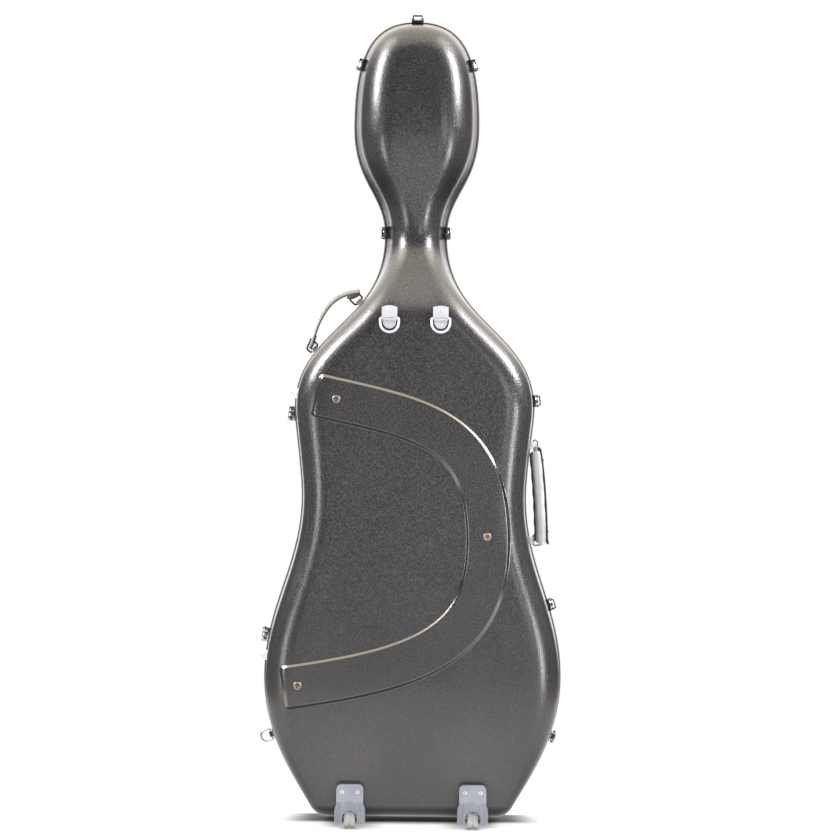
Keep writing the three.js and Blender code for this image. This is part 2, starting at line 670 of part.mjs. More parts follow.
// The bail: a wire with its ends turned out into the lever's ears, hooked over the keeper.
function latchBail(frames) {
  const hook = new THREE.Vector3(0, LATCH.hookV, LATCH.hookW).applyMatrix4(frames.rim)
    .applyMatrix4(frames.bail.clone().invert());
  const half = LATCH.wireHalf;
  const normal = new THREE.Vector3(0, -hook.z, hook.y).normalize();
  return wire([
    new THREE.Vector3(-LATCH.wallOuter, 0, 0), new THREE.Vector3(-half, 0, 0),
    new THREE.Vector3(-half, hook.y, hook.z), new THREE.Vector3(half, hook.y, hook.z),
    new THREE.Vector3(half, 0, 0), new THREE.Vector3(LATCH.wallOuter, 0, 0),
  ], normal, LATCH.wireRadius, LATCH.wireSides);
}

// The keeper: a small hook, part of the lid valance.
function latchKeeper(latch) {
  const { rim } = latchFrames(latch);
  const hook = extrudeX(shapeOf([
    [-LATCH.hookBelow, LATCH.hookFrom], [LATCH.hookLow, LATCH.hookFrom],
    [LATCH.hookHigh, LATCH.hookNeck], [LATCH.hookHigh, LATCH.hookLip],
    [LATCH.hookLow, LATCH.hookLip], [-LATCH.hookBelow, LATCH.hookLip],
  ]), [-LATCH.hookHalf, LATCH.hookHalf]);
  return moved(hook, rim).subtract(SEATS.lid);
}

// Hinges

// X up along the axis, Y towards the case, Z towards the lid.
function hingeFrame(z) {
  const at = (height) => rimFrame(mirrored(placeAt(height)), SEAM_Y, HINGE.standoff);
  const low = new THREE.Vector3().setFromMatrixPosition(at(HINGE.lowZ));
  const high = new THREE.Vector3().setFromMatrixPosition(at(HINGE.highZ));
  const along = high.clone().sub(low).normalize();
  const towardsLid = new THREE.Vector3(0, 1, 0);
  const inwards = new THREE.Vector3().crossVectors(towardsLid, along);
  const share = (z - HINGE.lowZ) / (HINGE.highZ - HINGE.lowZ);
  return new THREE.Matrix4().makeBasis(along, inwards, towardsLid)
    .setPosition(low.lerp(high, share));
}

// A leaf lies on its valance, and its knuckles lie between those of the other leaf.
function hingeLeaf(frame, half, knuckles) {
  const away = half.facing;
  const inner = HINGE.standoff + HINGE.inside;
  const outer = HINGE.standoff - HINGE.leafThickness - HINGE.gap;
  const range = (a, b) => [Math.min(a, b), Math.max(a, b)];
  const leaf = box([-HINGE.leafHalf, HINGE.leafHalf], [outer, inner],
    range(away * HINGE.leafFrom, away * HINGE.leafTo));
  const parts = knuckles.map(([from, to]) => join(
    barX([from, to], 0, 0, HINGE.knuckle, HINGE.sides),
    box([from, to], [0, inner], range(away * HINGE.leafFrom, away * HINGE.knuckle))));
  const bore = barX([-OVERRUN, OVERRUN], 0, 0, HINGE.bore, HINGE.sides);
  return moved(join(leaf, ...parts).subtract(bore), frame).subtract(SEATS.rim);
}

function hingePin() {
  const end = HINGE.half + HINGE.gap;
  return join(
    barX([-HINGE.half, end], 0, 0, HINGE.pin, HINGE.sides),
    barX([end, end + HINGE.head], 0, 0, HINGE.headRadius, HINGE.sides));
}

function addHinge(name, z) {
  const frame = hingeFrame(z);
  const third = HINGE.half / 3;
  const outerKnuckles = [[-HINGE.half, -third - HINGE.gap / 2], [third + HINGE.gap / 2, HINGE.half]];
  const innerKnuckle = [[-third + HINGE.gap / 2, third - HINGE.gap / 2]];
  piece("hinge_" + name + "_back_leaf",
    hingeLeaf(frame, BACK, outerKnuckles), COLOURS.nickel);
  piece("hinge_" + name + "_lid_leaf",
    hingeLeaf(frame, LID, innerKnuckle), COLOURS.nickel, frame);
  piece("hinge_" + name + "_pin", moved(hingePin(), frame), COLOURS.nickel);
}

// Wheels and feet

function wheel() {
  const { radius, half, rim, groove, grooveHalf, hub, sides } = WHEEL;
  const profile = [
    [hub, -half], [radius - rim, -half], [radius, rim - half], [radius, -grooveHalf],
    [radius - groove, 0], [radius, grooveHalf], [radius, half - rim], [radius - rim, half],
    [hub, half], [hub, -half],
  ].map(([r, t]) => new THREE.Vector2(r, t));
  return new THREE.LatheGeometry(profile, sides).rotateZ(-Math.PI / 2);
}

function housing(centre) {
  const h = HOUSING;
  const backY = WHEEL_Y - h.behind;
  const frontY = WHEEL_Y + h.before;
  const front = new THREE.Shape();
  front.moveTo(-h.baseHalf, h.base);
  front.lineTo(h.baseHalf, h.base);
  front.lineTo(h.baseHalf, h.waistZ - h.corner / 2);
  front.lineTo(h.topHalf, h.waistZ + h.corner / 2);
  front.lineTo(h.topHalf, h.top - h.corner);
  front.absarc(h.topHalf - h.corner, h.top - h.corner, h.corner, 0, Math.PI / 2, false);
  front.absarc(h.corner - h.topHalf, h.top - h.corner, h.corner, Math.PI / 2, Math.PI, false);
  front.lineTo(-h.topHalf, h.waistZ + h.corner / 2);
  front.lineTo(-h.baseHalf, h.waistZ - h.corner / 2);
  const sideProfile = shapeOf([
    [backY + h.corner / 2, h.base], [frontY, h.base], [frontY, h.top],
    [WHEEL_Y - h.topBehind, h.top], [backY, h.shoulderZ], [backY, h.base + h.corner / 2],
  ]);
  const wide = h.baseHalf + OVERRUN;
  const block = extrudeY(front, [backY - OVERRUN, frontY], 4)
    .intersect(extrudeX(sideProfile, [-wide, wide]));
  const arch = (half, top, deep) => {
    const shape = new THREE.Shape();
    shape.moveTo(-half, -OVERRUN);
    shape.lineTo(half, -OVERRUN);
    shape.lineTo(half, top - half);
    shape.absarc(0, top - half, half, 0, Math.PI, false);
    return extrudeY(shape, deep, 5);
  };
  const clipped = arch(h.fenderHalf, h.fenderTop, [backY - h.fender, backY + h.fenderDeep])
    .intersect(box([-wide, wide], [backY - OVERRUN, frontY], [h.base, h.top]));
  const well = join(
    barX([-h.wellHalf, h.wellHalf], WHEEL_Y, WHEEL.radius, h.wellRadius, WHEEL.sides),
    box([-h.wellHalf, h.wellHalf], [WHEEL_Y - h.wellRadius, WHEEL_Y + h.wellRadius],
      [-OVERRUN, WHEEL.radius]));
  const opening = arch(h.archHalf, h.archTop, [backY - OVERRUN, WHEEL_Y]);
  const bore = barX([-wide, wide], WHEEL_Y, WHEEL.radius, AXLE.bore, AXLE.sides);
  const made = block.add(clipped).subtract(well).subtract(opening).subtract(bore);
  return moved(made, new THREE.Matrix4().makeTranslation(centre, 0, 0)).subtract(SEATS.back);
}

function foot() {
  const { radius, height, chamfer, sides } = FOOT;
  const profile = [[0, 0], [radius - chamfer, 0], [radius, chamfer], [radius, height], [0, height]]
    .map(([r, t]) => new THREE.Vector2(r, t));
  return solidOf(new THREE.LatheGeometry(profile, sides).rotateX(Math.PI / 2));
}

// Harness rings

// The upper plates stand square to the sloping shell: X to the right, Y up the plate, Z outwards.
function ringPlateFrame(side) {
  const tilt = RING_PLATE.tilt;
  const surface = -sizeAt("back", RING_PLATE.z);
  return new THREE.Matrix4().makeBasis(
    new THREE.Vector3(1, 0, 0),
    new THREE.Vector3(0, Math.sin(tilt), Math.cos(tilt)),
    new THREE.Vector3(0, -Math.cos(tilt), Math.sin(tilt)),
  ).setPosition(side * RING_PLATE.x, surface, RING_PLATE.z);
}

function ringPlate(frame) {
  const p = RING_PLATE;
  const shape = new THREE.Shape();
  shape.moveTo(-p.half, 0);
  shape.lineTo(-p.half, p.rise - p.crown);
  shape.quadraticCurveTo(0, p.rise + p.crown, p.half, p.rise - p.crown);
  shape.lineTo(p.half, 0);
  shape.lineTo(p.lowerHalf, -p.humpHalf);
  shape.bezierCurveTo(p.lowerHalf, -p.drop, -p.lowerHalf, -p.drop, -p.lowerHalf, -p.humpHalf);
  const plate = solidOf(new THREE.ExtrudeGeometry(shape, {
    depth: p.thickness + p.below, bevelEnabled: false, curveSegments: 8,
  }).translate(0, 0, -p.below));
  const hump = extrudeX(shapeOf([
    [-p.humpHalf, 0], [p.humpHalf, 0], [p.humpHalf / 2, p.hump], [-p.humpHalf / 2, p.hump],
  ]), [-p.lowerHalf, p.lowerHalf]);
  const bore = barX([-OVERRUN, OVERRUN], 0, D_RING.barV, p.bore, D_RING.sides + 2);
  return moved(join(plate, hump).subtract(bore), frame).subtract(SEATS.back);
}

// A ring: a bar along X and a round bow, `way` being the direction in which it reaches.
// A cubic curve reaches three quarters as far as its two middle points.
function ringOf({ wire: radius, half, reach, sides, steps }, way) {
  const far = way.clone().multiplyScalar(reach * (4 / 3));
  const right = new THREE.Vector3(half, 0, 0);
  const left = new THREE.Vector3(-half, 0, 0);
  const bow = new THREE.CubicBezierCurve3(
    right, right.clone().add(far), left.clone().add(far), left);
  const normal = new THREE.Vector3().crossVectors(new THREE.Vector3(1, 0, 0), way);
  return wire(bow.getPoints(steps), normal, radius, sides, true);
}

function sideRingFrame(side) {
  const at = placeAt(SIDE_RING.z);
  const out = SIDE_RING.barV - wallInset(at, SIDE_RING_Y);
  return rimFrame(side > 0 ? at : mirrored(at), SIDE_RING_Y, out);
}

// How far the back shell's drafted wall lies inside the rim line at y.
function wallInset(at, y) {
  const [edge, start] = section(BACK, at, 0, 0, 1);
  return THREE.MathUtils.mapLinear(y, edge[1], start[1], edge[0], start[0]);
}

function sideRingBracket(frame) {
  const s = SIDE_RING;
  const face = s.plateProud - s.barV;
  const plate = box(
    [-s.plateHalf, s.plateHalf], [face - s.plateBelow, face], [-s.plateDeep, s.plateDeep]);
  const eye = barX([-s.eyeHalf, s.eyeHalf], 0, 0, s.eye);
  const web = box([-s.eyeHalf, s.eyeHalf], [face - s.plateProud, 0], [-s.eye, s.eye]);
  const bore = barX([-OVERRUN, OVERRUN], 0, 0, s.bore);
  return moved(join(plate, eye, web).subtract(bore), frame).subtract(SEATS.back);
}

// Handles

// A place of a handle, in (x, z).
function besideRim(handle, { rise, out }) {
  const z = handle.z + rise;
  return new THREE.Vector2(handle.side * (placeAt(z).x + out), z);
}

function inHandlePlane(point) {
  return new THREE.Vector3(point.x, HANDLE_Y, point.y);
}

// The line on which a handle turns: X along it, Y away from the case, Z towards the lid.
function handleFrame(handle) {
  const from = inHandlePlane(besideRim(handle, handle.from));
  const to = inHandlePlane(besideRim(handle, handle.to));
  const along = to.clone().sub(from).normalize();
  const towardsLid = new THREE.Vector3(0, 1, 0);
  const outwards = new THREE.Vector3().crossVectors(towardsLid, along);
  return new THREE.Matrix4().makeBasis(along, outwards, towardsLid).setPosition(from);
}

function handleBracket(frame) {
  const b = BRACKET;
  const plate = box([-b.half, b.half], [-b.below, b.face], [-b.deep, b.deep]);
  const eye = barX([-b.half, b.half], 0, 0, b.eye, b.sides);
  const web = box([-b.half, b.half], [-b.below, 0], [-b.webDeep, b.webDeep]);
  const bore = barX([-OVERRUN, OVERRUN], 0, 0, b.bore, b.sides);
  return moved(join(plate, eye, web).subtract(bore), frame).subtract(SEATS.back);
}

// A wire loop: one bar lies in the bracket's eye and the other one in the grip.
function wireLoop(reach, frame) {
  const corners = [[-LOOP.half, 0], [LOOP.half, 0], [LOOP.half, reach], [-LOOP.half, reach]];
  const loop = wire(corners.map(([x, y]) => new THREE.Vector3(x, y, 0)),
    new THREE.Vector3(0, 0, 1), LOOP.wire, LOOP.sides, true);
  return moved(loop, frame);
}

// The frames at the two brackets of a handle.
function bracketFrames(handle) {
  const frame = handleFrame(handle);
  const end = frame.clone().setPosition(inHandlePlane(besideRim(handle, handle.to)));
  return [frame, end];
}

function sideHandle() {
  const h = SIDE_HANDLE;
  const low = inHandlePlane(besideRim(h, h.low));
  const top = inHandlePlane(besideRim(h, h.top));
  const middle = low.clone().lerp(top, 1 / 2).add(new THREE.Vector3(h.bow, 0, 0));
  const outline = new THREE.Shape();
  const [a, b, r] = [h.halfY, h.halfX, h.corner];
  outline.absarc(a - r, b - r, r, 0, Math.PI / 2, false);
  outline.absarc(r - a, b - r, r, Math.PI / 2, Math.PI, false);
  outline.absarc(r - a, r - b, r, Math.PI, Math.PI * (3 / 2), false);
  outline.absarc(a - r, r - b, r, Math.PI * (3 / 2), Math.PI * 2, false);
  return solidOf(new THREE.ExtrudeGeometry(outline, {
    steps: h.steps, extrudePath: new THREE.QuadraticBezierCurve3(low, middle, top), curveSegments: 2,
  }));
}

function shoulderHandle() {
  const h = SHOULDER_HANDLE;
  const start = besideRim(h, h.start);
  const end = besideRim(h, h.end);
  const curve = new THREE.CubicBezierCurve(
    start, new THREE.Vector2(start.x - h.startReach, start.y),
    new THREE.Vector2(end.x + h.endReach * h.endLean, end.y + h.endReach), end);
  const edges = { outer: [], inner: [] };
  for (let i = 0; i <= h.steps; i += 1) {
    const point = curve.getPoint(i / h.steps);
    const along = curve.getTangent(i / h.steps);
    const across = new THREE.Vector2(-along.y, along.x).multiplyScalar(h.thickness / 2);
    edges.outer.push(point.clone().add(across).toArray());
    edges.inner.push(point.clone().sub(across).toArray());
  }
  const depth = [HANDLE_Y - h.halfY, HANDLE_Y + h.halfY];
  const strap = extrudeY(shapeOf([...edges.outer, ...edges.inner.reverse()]), depth, 1);
  const middle = besideRim(h, h.pad);
  const pad = new THREE.Shape();
  pad.absellipse(middle.x, middle.y, h.padHalf, h.padThick, 0, Math.PI * 2, false, PAD_TURN);
  const fold = extrudeY(pad, depth, 6);
  return join(strap, fold);
}

function bumper(z) {
  const b = BUMPER;
  const frame = rimFrame(mirrored(placeAt(z)), SEAM_Y - b.fromSeam);
  const inside = new THREE.Vector3(0, -b.below, 0).applyMatrix4(frame);
  const outside = new THREE.Vector3(0, b.proud, 0).applyMatrix4(frame);
  return rod(inside, outside, b.base, b.sides, b.tip).subtract(SEATS.back);
}

// Inside pieces

function inBack(solid) {
  return solid.intersect(ROOMS.back);
}

function inLid(solid) {
  return solid.intersect(ROOMS.lid);
}

function neckCradle() {
  const c = NECK_CRADLE;
  const [lowZ, highZ] = [c.z - c.halfZ, c.z + c.halfZ];
  const highY = SEAM_Y - c.highFromSeam;
  const notchY = SEAM_Y - c.notchFromSeam;
  const block = box([-c.half, c.half], [SEAM_Y - c.lowFromSeam, highY], [lowZ, highZ]);
  const notch = new THREE.Shape();
  notch.moveTo(-c.notchHalf, highY + OVERRUN);
  notch.lineTo(-c.notchHalf, notchY);
  notch.absarc(0, notchY, c.notchHalf, Math.PI, 2 * Math.PI, false);
  notch.lineTo(c.notchHalf, highY + OVERRUN);
  const cut = new THREE.ExtrudeGeometry(notch, {
    depth: highZ - lowZ + 2 * OVERRUN, bevelEnabled: false, curveSegments: 5,
  }).translate(0, 0, lowZ - OVERRUN);
  return inBack(block.subtract(solidOf(cut)));
}

function neckStrap() {
  const s = NECK_STRAP;
  const low = SEAM_Y - NECK_CRADLE.highFromSeam + CLEARANCE;
  return inBack(box([-s.half, s.half], [low, low + s.thickness],
    [NECK_CRADLE.z - s.halfZ, NECK_CRADLE.z + s.halfZ]));
}

function upperPad() {
  const p = UPPER_PAD;
  const [lowZ, highZ] = [p.z - p.halfZ, p.z + p.halfZ];
  const face = p.fromBack - BODY.back;
  const block = box([-p.half, p.half], [-BODY.back, face], [lowZ, highZ]);
  const channel = box([-p.channel, p.channel], [face - p.channelDeep, face + OVERRUN],
    [lowZ - OVERRUN, highZ + OVERRUN]);
  return inBack(block.subtract(channel));
}

function endpinPad() {
  const p = ENDPIN_PAD;
  const top = BOTTOM.z + WALL + LINER + p.height;
  const high = SEAM_Y - p.highFromSeam;
  const block = box([-p.half, p.half], [SEAM_Y - p.lowFromSeam, high], [BOTTOM.z, top]);
  const slot = box([-p.slotHalf, p.slotHalf], [SEAM_Y - p.slotFromSeam, high + OVERRUN],
    [BOTTOM.z - OVERRUN, top + OVERRUN]);
  return inBack(block.subtract(slot));
}

function pouch() {
  const p = POUCH;
  const [lowZ, highZ] = [p.z - p.halfZ, p.z + p.halfZ];
  const deep = [p.fromBack - BODY.back, SEAM_Y - p.highFromSeam];
  const body = box([p.inX, p.outX], deep, [lowZ, highZ]);
  const flap = box([p.inX - p.flap, p.outX], deep, [highZ - p.flapDrop, highZ + p.flap]);
  return inBack(join(body, flap));
}

function lidFloor(z) {
  return sizeAt("lid", z) - WALL - LINER_GAP - LINER - CLEARANCE;
}

function bowBar() {
  const b = BOW_BAR;
  const floor = lidFloor(b.z);
  const half = BOW_CLIP.x + b.past;
  const bar = box(
    [-half, half], [floor - b.thickness, floor + OVERRUN], [b.z - b.halfZ, b.z + b.halfZ]);
  const bores = [-1, 1].map((side) => rod(
    new THREE.Vector3(side * BOW_CLIP.x, floor - b.thickness - OVERRUN, b.z),
    new THREE.Vector3(side * BOW_CLIP.x, floor - b.thickness + BOW_CLIP.postInset + CLEARANCE, b.z),
    BOW_CLIP.bore, BOW_CLIP.sides));
  return inLid(bar.subtract(join(...bores)));
}

// A clip turns on its post about the Y axis.
function clipFrame(side) {
  const y = lidFloor(BOW_BAR.z) - BOW_BAR.thickness;
  return new THREE.Matrix4().makeBasis(
    new THREE.Vector3(0, 1, 0), new THREE.Vector3(1, 0, 0), new THREE.Vector3(0, 0, -1),
  ).setPosition(side * BOW_CLIP.x, y, BOW_BAR.z);
}

function bowClip() {
  const c = BOW_CLIP;
  const post = barX([-c.neck - c.thickness / 2, c.postInset], 0, 0, c.post, c.sides);
  const shape = new THREE.Shape();
  shape.absarc(c.length / 2, 0, c.width / 2, -Math.PI / 2, Math.PI / 2, false);
  shape.absarc(-c.length / 2, 0, c.width / 2, Math.PI / 2, Math.PI * (3 / 2), false);
  return join(post, extrudeX(shape, [-c.neck - c.thickness, -c.neck], 5));
}

function bowPocket() {
  const p = BOW_POCKET;
  const [lowZ, highZ] = [p.z - p.halfZ, p.z + p.halfZ];
  const floor = lidFloor(p.z);
  const half = BOW_CLIP.x + p.past;
  const block = box([-half, half], [floor - p.height, floor + OVERRUN], [lowZ, highZ]);
  const slots = [-1, 1].map((side) => box(
    [side * BOW_CLIP.x - p.slotHalf, side * BOW_CLIP.x + p.slotHalf],
    [floor - p.height + p.roof, floor - p.height + p.roof + p.slotDeep],
    [lowZ - OVERRUN, highZ + OVERRUN]));
  return inLid(block.subtract(join(...slots)));
}

// The assembly

function addShells() {
  const bases = LATCHES.map(latchBase);
  const keepers = LATCHES.map(latchKeeper);
  piece("back_shell", backShell(), COLOURS.shell);
  piece("lid_shell", shellOf(LID), COLOURS.shell, hingeFrame(HINGE.lowZ));
  piece("back_valance", join(valanceOf(BACK), ...bases), COLOURS.rim);
  piece("lid_valance", join(valanceOf(LID), ...keepers), COLOURS.rim);
  piece("rim_seal", rimStrip([
    [SEAL.inner, SEAM_Y - SEAL.half], [SEAL.outer, SEAM_Y - SEAL.half],
    [SEAL.outer, SEAM_Y + SEAL.half], [SEAL.inner, SEAM_Y + SEAL.half],
  ]), COLOURS.rubber);
  piece("back_liner", linerOf(BACK), COLOURS.lining);
  piece("lid_liner", linerOf(LID), COLOURS.lining);
}

function addLatches() {
  const lever = latchLever();
  LATCHES.forEach((latch) => {
    const frames = latchFrames(latch);
    piece("latch_" + latch.name + "_lever", moved(lever, frames.lever), COLOURS.black, frames.lever);
    piece("latch_" + latch.name + "_bail", moved(latchBail(frames), frames.bail),
      COLOURS.nickel, frames.bail);
  });
}

function addWheels() {
  const wheelGeometry = wheel();
  [["left", -1], ["right", 1]].forEach(([name, side]) => {
    const centre = side * WHEEL.x;
    piece("wheel_housing_" + name, housing(centre), COLOURS.housing);
    const frame = new THREE.Matrix4().makeTranslation(centre, WHEEL_Y, WHEEL.radius);
    piece("wheel_" + name, solidOf(wheelGeometry.clone().applyMatrix4(frame)), COLOURS.wheel, frame);
    const reach = HOUSING.baseHalf - AXLE.inset;
    piece("wheel_axle_" + name, moved(barX([-reach, reach], 0, 0, AXLE.radius, AXLE.sides), frame),
      COLOURS.nickel, frame);
    const at = new THREE.Matrix4().makeTranslation(side * FOOT.x, SEAM_Y - FOOT.fromSeam, 0);
    piece("front_foot_" + name, moved(foot(), at).subtract(SEATS.back), COLOURS.rubber, at);
  });
}

function addRings() {
  [["left", -1], ["right", 1]].forEach(([name, side]) => {
    const frame = ringPlateFrame(side);
    piece("back_ring_plate_" + name, ringPlate(frame), COLOURS.whitePlate, frame);
    const bar = shifted(frame, 0, 0, D_RING.barV);
    const hanging = ringOf(D_RING, new THREE.Vector3(0, -1, 0));
    piece("back_d_ring_" + name, moved(hanging, bar), COLOURS.nickel, bar);
    const lower = sideRingFrame(side);
    const lean = side > 0 ? -THREE.MathUtils.degToRad(SIDE_RING.restLean) : 0;
    piece("side_ring_bracket_" + name, sideRingBracket(lower), COLOURS.black, lower);
    const ring = moved(ringOf(SIDE_RING, new THREE.Vector3(0, 1, 0)), turned(lower, lean));
    piece("side_ring_" + name, ring, COLOURS.nickel, lower);
  });
}

function addHandle(name, handle, grip, bracketNames) {
  const [start, end] = bracketFrames(handle);
  const loops = [wireLoop(handle.fromReach, start), wireLoop(handle.toReach, end)];
  piece(name + "_handle", join(grip, ...loops), COLOURS.grip, start);
  [start, end].forEach((frame, i) => {
    piece(name + "_handle_bracket_" + bracketNames[i], handleBracket(frame), COLOURS.black);
  });
}

function addInside() {
  piece("neck_cradle", neckCradle(), COLOURS.pad);
  piece("neck_strap", neckStrap(), COLOURS.strap);
  piece("upper_pad", upperPad(), COLOURS.pad);
  piece("endpin_pad", endpinPad(), COLOURS.pad);
  piece("accessory_pouch", pouch(), COLOURS.pad);
  piece("bow_clip_bar", bowBar(), COLOURS.black);
  piece("bow_tip_pocket", bowPocket(), COLOURS.pad);
  [["left", -1], ["right", 1]].forEach(([name, side]) => {
    const frame = clipFrame(side);
    piece("bow_clip_" + name, moved(bowClip(), frame), COLOURS.black, frame);
  });
}

addShells();
addLatches();
addHinge("lower", HINGE.lowZ);
addHinge("upper", HINGE.highZ);
addWheels();
addRings();
addHandle("side", SIDE_HANDLE, sideHandle(), ["lower", "upper"]);
addHandle("shoulder", SHOULDER_HANDLE, shoulderHandle(), ["upper", "lower"]);
piece("side_bumper_lower", bumper(BUMPER.lowZ), COLOURS.bumper);
piece("side_bumper_upper", bumper(BUMPER.highZ), COLOURS.bumper);
addInside();

export default root;
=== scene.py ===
# %% [markdown]
# # A hard case for a cello
# The case stands upright on two wheels and two feet and shows its back. The CAD model holds the
# exact sizes and the joints. This lesson dresses it: finer skins for the shells, rounded edges on
# the fittings, rivets, stitching and padding, and a finish for every material. Each new piece
# rides on the CAD body that carries it, so the lid, latches, rings and handles still move.

import json
import math

import bpy
import numpy as np
from mathutils import Matrix, Vector


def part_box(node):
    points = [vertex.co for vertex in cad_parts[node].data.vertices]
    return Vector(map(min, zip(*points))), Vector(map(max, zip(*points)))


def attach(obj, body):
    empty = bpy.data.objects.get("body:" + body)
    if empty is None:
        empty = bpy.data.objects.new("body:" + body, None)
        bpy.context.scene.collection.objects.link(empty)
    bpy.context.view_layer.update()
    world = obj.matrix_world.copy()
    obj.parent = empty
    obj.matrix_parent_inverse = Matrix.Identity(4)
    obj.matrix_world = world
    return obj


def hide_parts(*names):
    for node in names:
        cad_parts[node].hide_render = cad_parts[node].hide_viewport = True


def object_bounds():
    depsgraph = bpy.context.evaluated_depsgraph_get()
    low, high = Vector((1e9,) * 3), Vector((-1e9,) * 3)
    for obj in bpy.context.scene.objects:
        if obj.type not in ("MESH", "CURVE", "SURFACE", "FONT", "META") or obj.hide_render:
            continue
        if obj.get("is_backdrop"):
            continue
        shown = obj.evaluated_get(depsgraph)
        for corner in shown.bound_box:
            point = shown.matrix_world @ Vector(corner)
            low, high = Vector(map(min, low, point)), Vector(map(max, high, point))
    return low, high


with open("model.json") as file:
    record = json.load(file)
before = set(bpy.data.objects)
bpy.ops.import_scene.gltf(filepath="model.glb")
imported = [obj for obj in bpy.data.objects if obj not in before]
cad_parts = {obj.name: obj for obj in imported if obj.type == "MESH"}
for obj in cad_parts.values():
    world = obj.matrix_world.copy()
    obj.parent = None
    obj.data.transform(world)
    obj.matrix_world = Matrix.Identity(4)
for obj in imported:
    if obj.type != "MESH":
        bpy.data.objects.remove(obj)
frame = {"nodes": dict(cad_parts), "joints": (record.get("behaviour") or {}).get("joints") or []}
cad = frame["nodes"]
joints = {joint["name"]: joint for joint in frame["joints"]}
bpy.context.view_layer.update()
MM = 0.001

# %% [markdown]
# ## The camera
# The camera comes first, because it decides what has to look right. The photo was taken from
# some seven metres with a long lens, at about half the height of the case, and the case leans by
# half a degree in it. A camera with the same lens and the same small roll gives that view. The
# lens is worked out from the real width of one pixel at the rim of the case.

# %% The camera
DISTANCE = 7.0
CAMERA_HEIGHT = 0.65
SEAM_Y = 0.055
METRES_PER_PIXEL = 1.723 * MM
PIXELS = 840
SENSOR = 36
AIM = Vector((0.0095, SEAM_Y, 0.687))
LEAN = math.radians(0.47)

camera_data = bpy.data.cameras.new("camera")
camera = bpy.data.objects.new("camera", camera_data)
bpy.context.scene.collection.objects.link(camera)
camera_data.sensor_width = SENSOR
camera_data.lens = SENSOR * DISTANCE / (METRES_PER_PIXEL * PIXELS)
camera_data.clip_end = 50
camera.location = (AIM.x, SEAM_Y - DISTANCE, CAMERA_HEIGHT)
camera.rotation_mode = "QUATERNION"
look = (AIM - camera.location).to_track_quat("-Z", "Y")
roll = Matrix.Rotation(LEAN, 3, "Z").to_quaternion()
camera.rotation_quaternion = look @ roll
bpy.context.scene.camera = camera
print("lens", round(camera_data.lens, 1), "mm")

# %% [markdown]
# ## Shader maths as Python
# Node trees are easier to read as formulas. `Signal` wraps one output of a node, and its
# operators add Math nodes. `Nodes` is a node tree in the making: its `add` makes any node from
# its type, its settings and the values or links of its inputs. `Finish` is such a tree around the
# shader of a material.


# %% Signals
class Signal:
    """One output of a shader node. Arithmetic on it adds Math nodes."""

    def __init__(self, finish, socket):
        self.finish = finish
        self.socket = socket

    def maths(self, operation, *others):
        inputs = dict(enumerate((self, *others)))
        return self.finish.add("ShaderNodeMath", {"operation": operation}, inputs)

    def __add__(self, other):
        return self.maths("ADD", other)

    def __sub__(self, other):
        return self.maths("SUBTRACT", other)

    def __rsub__(self, other):
        inputs = {0: other, 1: self}
        return self.finish.add("ShaderNodeMath", {"operation": "SUBTRACT"}, inputs)

    def __mul__(self, other):
        return self.maths("MULTIPLY", other)

    __radd__ = __add__
    __rmul__ = __mul__

    def ramp(self, low, high, start=0.0, end=1.0):
        """Runs smoothly from start to end as the signal goes from low to high."""
        inputs = {"Value": self, "From Min": low, "From Max": high, "To Min": start, "To Max": end}
        settings = {"interpolation_type": "SMOOTHSTEP"}
        return self.finish.add("ShaderNodeMapRange", settings, inputs)


print("signals ready")


# %% Node trees and finishes
class Nodes:
    """A node tree in the making."""

    def __init__(self, tree):
        self.tree = tree

    def add(self, kind, settings=None, inputs=None, output=0):
        node = self.tree.nodes.new(kind)
        for key, value in (settings or {}).items():
            setattr(node, key, value)
        for key, value in (inputs or {}).items():
            self.feed(node.inputs[key], value)
        return Signal(self, node.outputs[output])

    def feed(self, socket, value):
        if isinstance(value, Signal):
            self.tree.links.new(value.socket, socket)
        elif socket.type == "RGBA" and len(value) == 3:
            socket.default_value = (*value, 1)
        else:
            socket.default_value = value

    def mix(self, factor, first, second):
        inputs = {0: factor, 6: first, 7: second}
        return self.add("ShaderNodeMix", {"data_type": "RGBA"}, inputs, 2)


class Finish(Nodes):
    """A material in the making, around one Principled shader."""

    def __init__(self, name, **values):
        self.material = bpy.data.materials.new(name)
        self.material.use_nodes = True
        super().__init__(self.material.node_tree)
        self.shader = self.tree.nodes["Principled BSDF"]
        self.place = self.add("ShaderNodeTexCoord", output="Object")
        self.set(**values)

    def set(self, **values):
        for key, value in values.items():
            self.feed(self.shader.inputs[key.replace("_", " ").title()], value)

    def noise(self, scale, detail=2.0, roughness=0.5, stretch=None):
        place = self.place if stretch is None else self.stretched(stretch)
        inputs = {"Vector": place, "Scale": scale, "Detail": detail, "Roughness": roughness}
        return self.add("ShaderNodeTexNoise", {}, inputs)

    def stretched(self, scale):
        return self.add("ShaderNodeMapping", {}, {"Vector": self.place, "Scale": scale})

    def cells(self, scale, feature="F1"):
        inputs = {"Vector": self.place, "Scale": scale}
        return self.add("ShaderNodeTexVoronoi", {"feature": feature}, inputs, "Distance")

    def axis(self, name, vector=None):
        return self.add("ShaderNodeSeparateXYZ", {}, {0: vector or self.place}, name)

    def facing(self):
        """How far the surface looks up, from -1 to 1."""
        normal = self.add("ShaderNodeNewGeometry", output="Normal")
        return self.axis("Z", normal)

    def attribute(self, name):
        return self.add("ShaderNodeAttribute", {"attribute_name": name}, {}, "Fac")

    def bump(self, height, distance, strength, under=None):
        inputs = {"Height": height, "Distance": distance, "Strength": strength}
        if under is not None:
            inputs["Normal"] = under
        return self.add("ShaderNodeBump", {}, inputs)


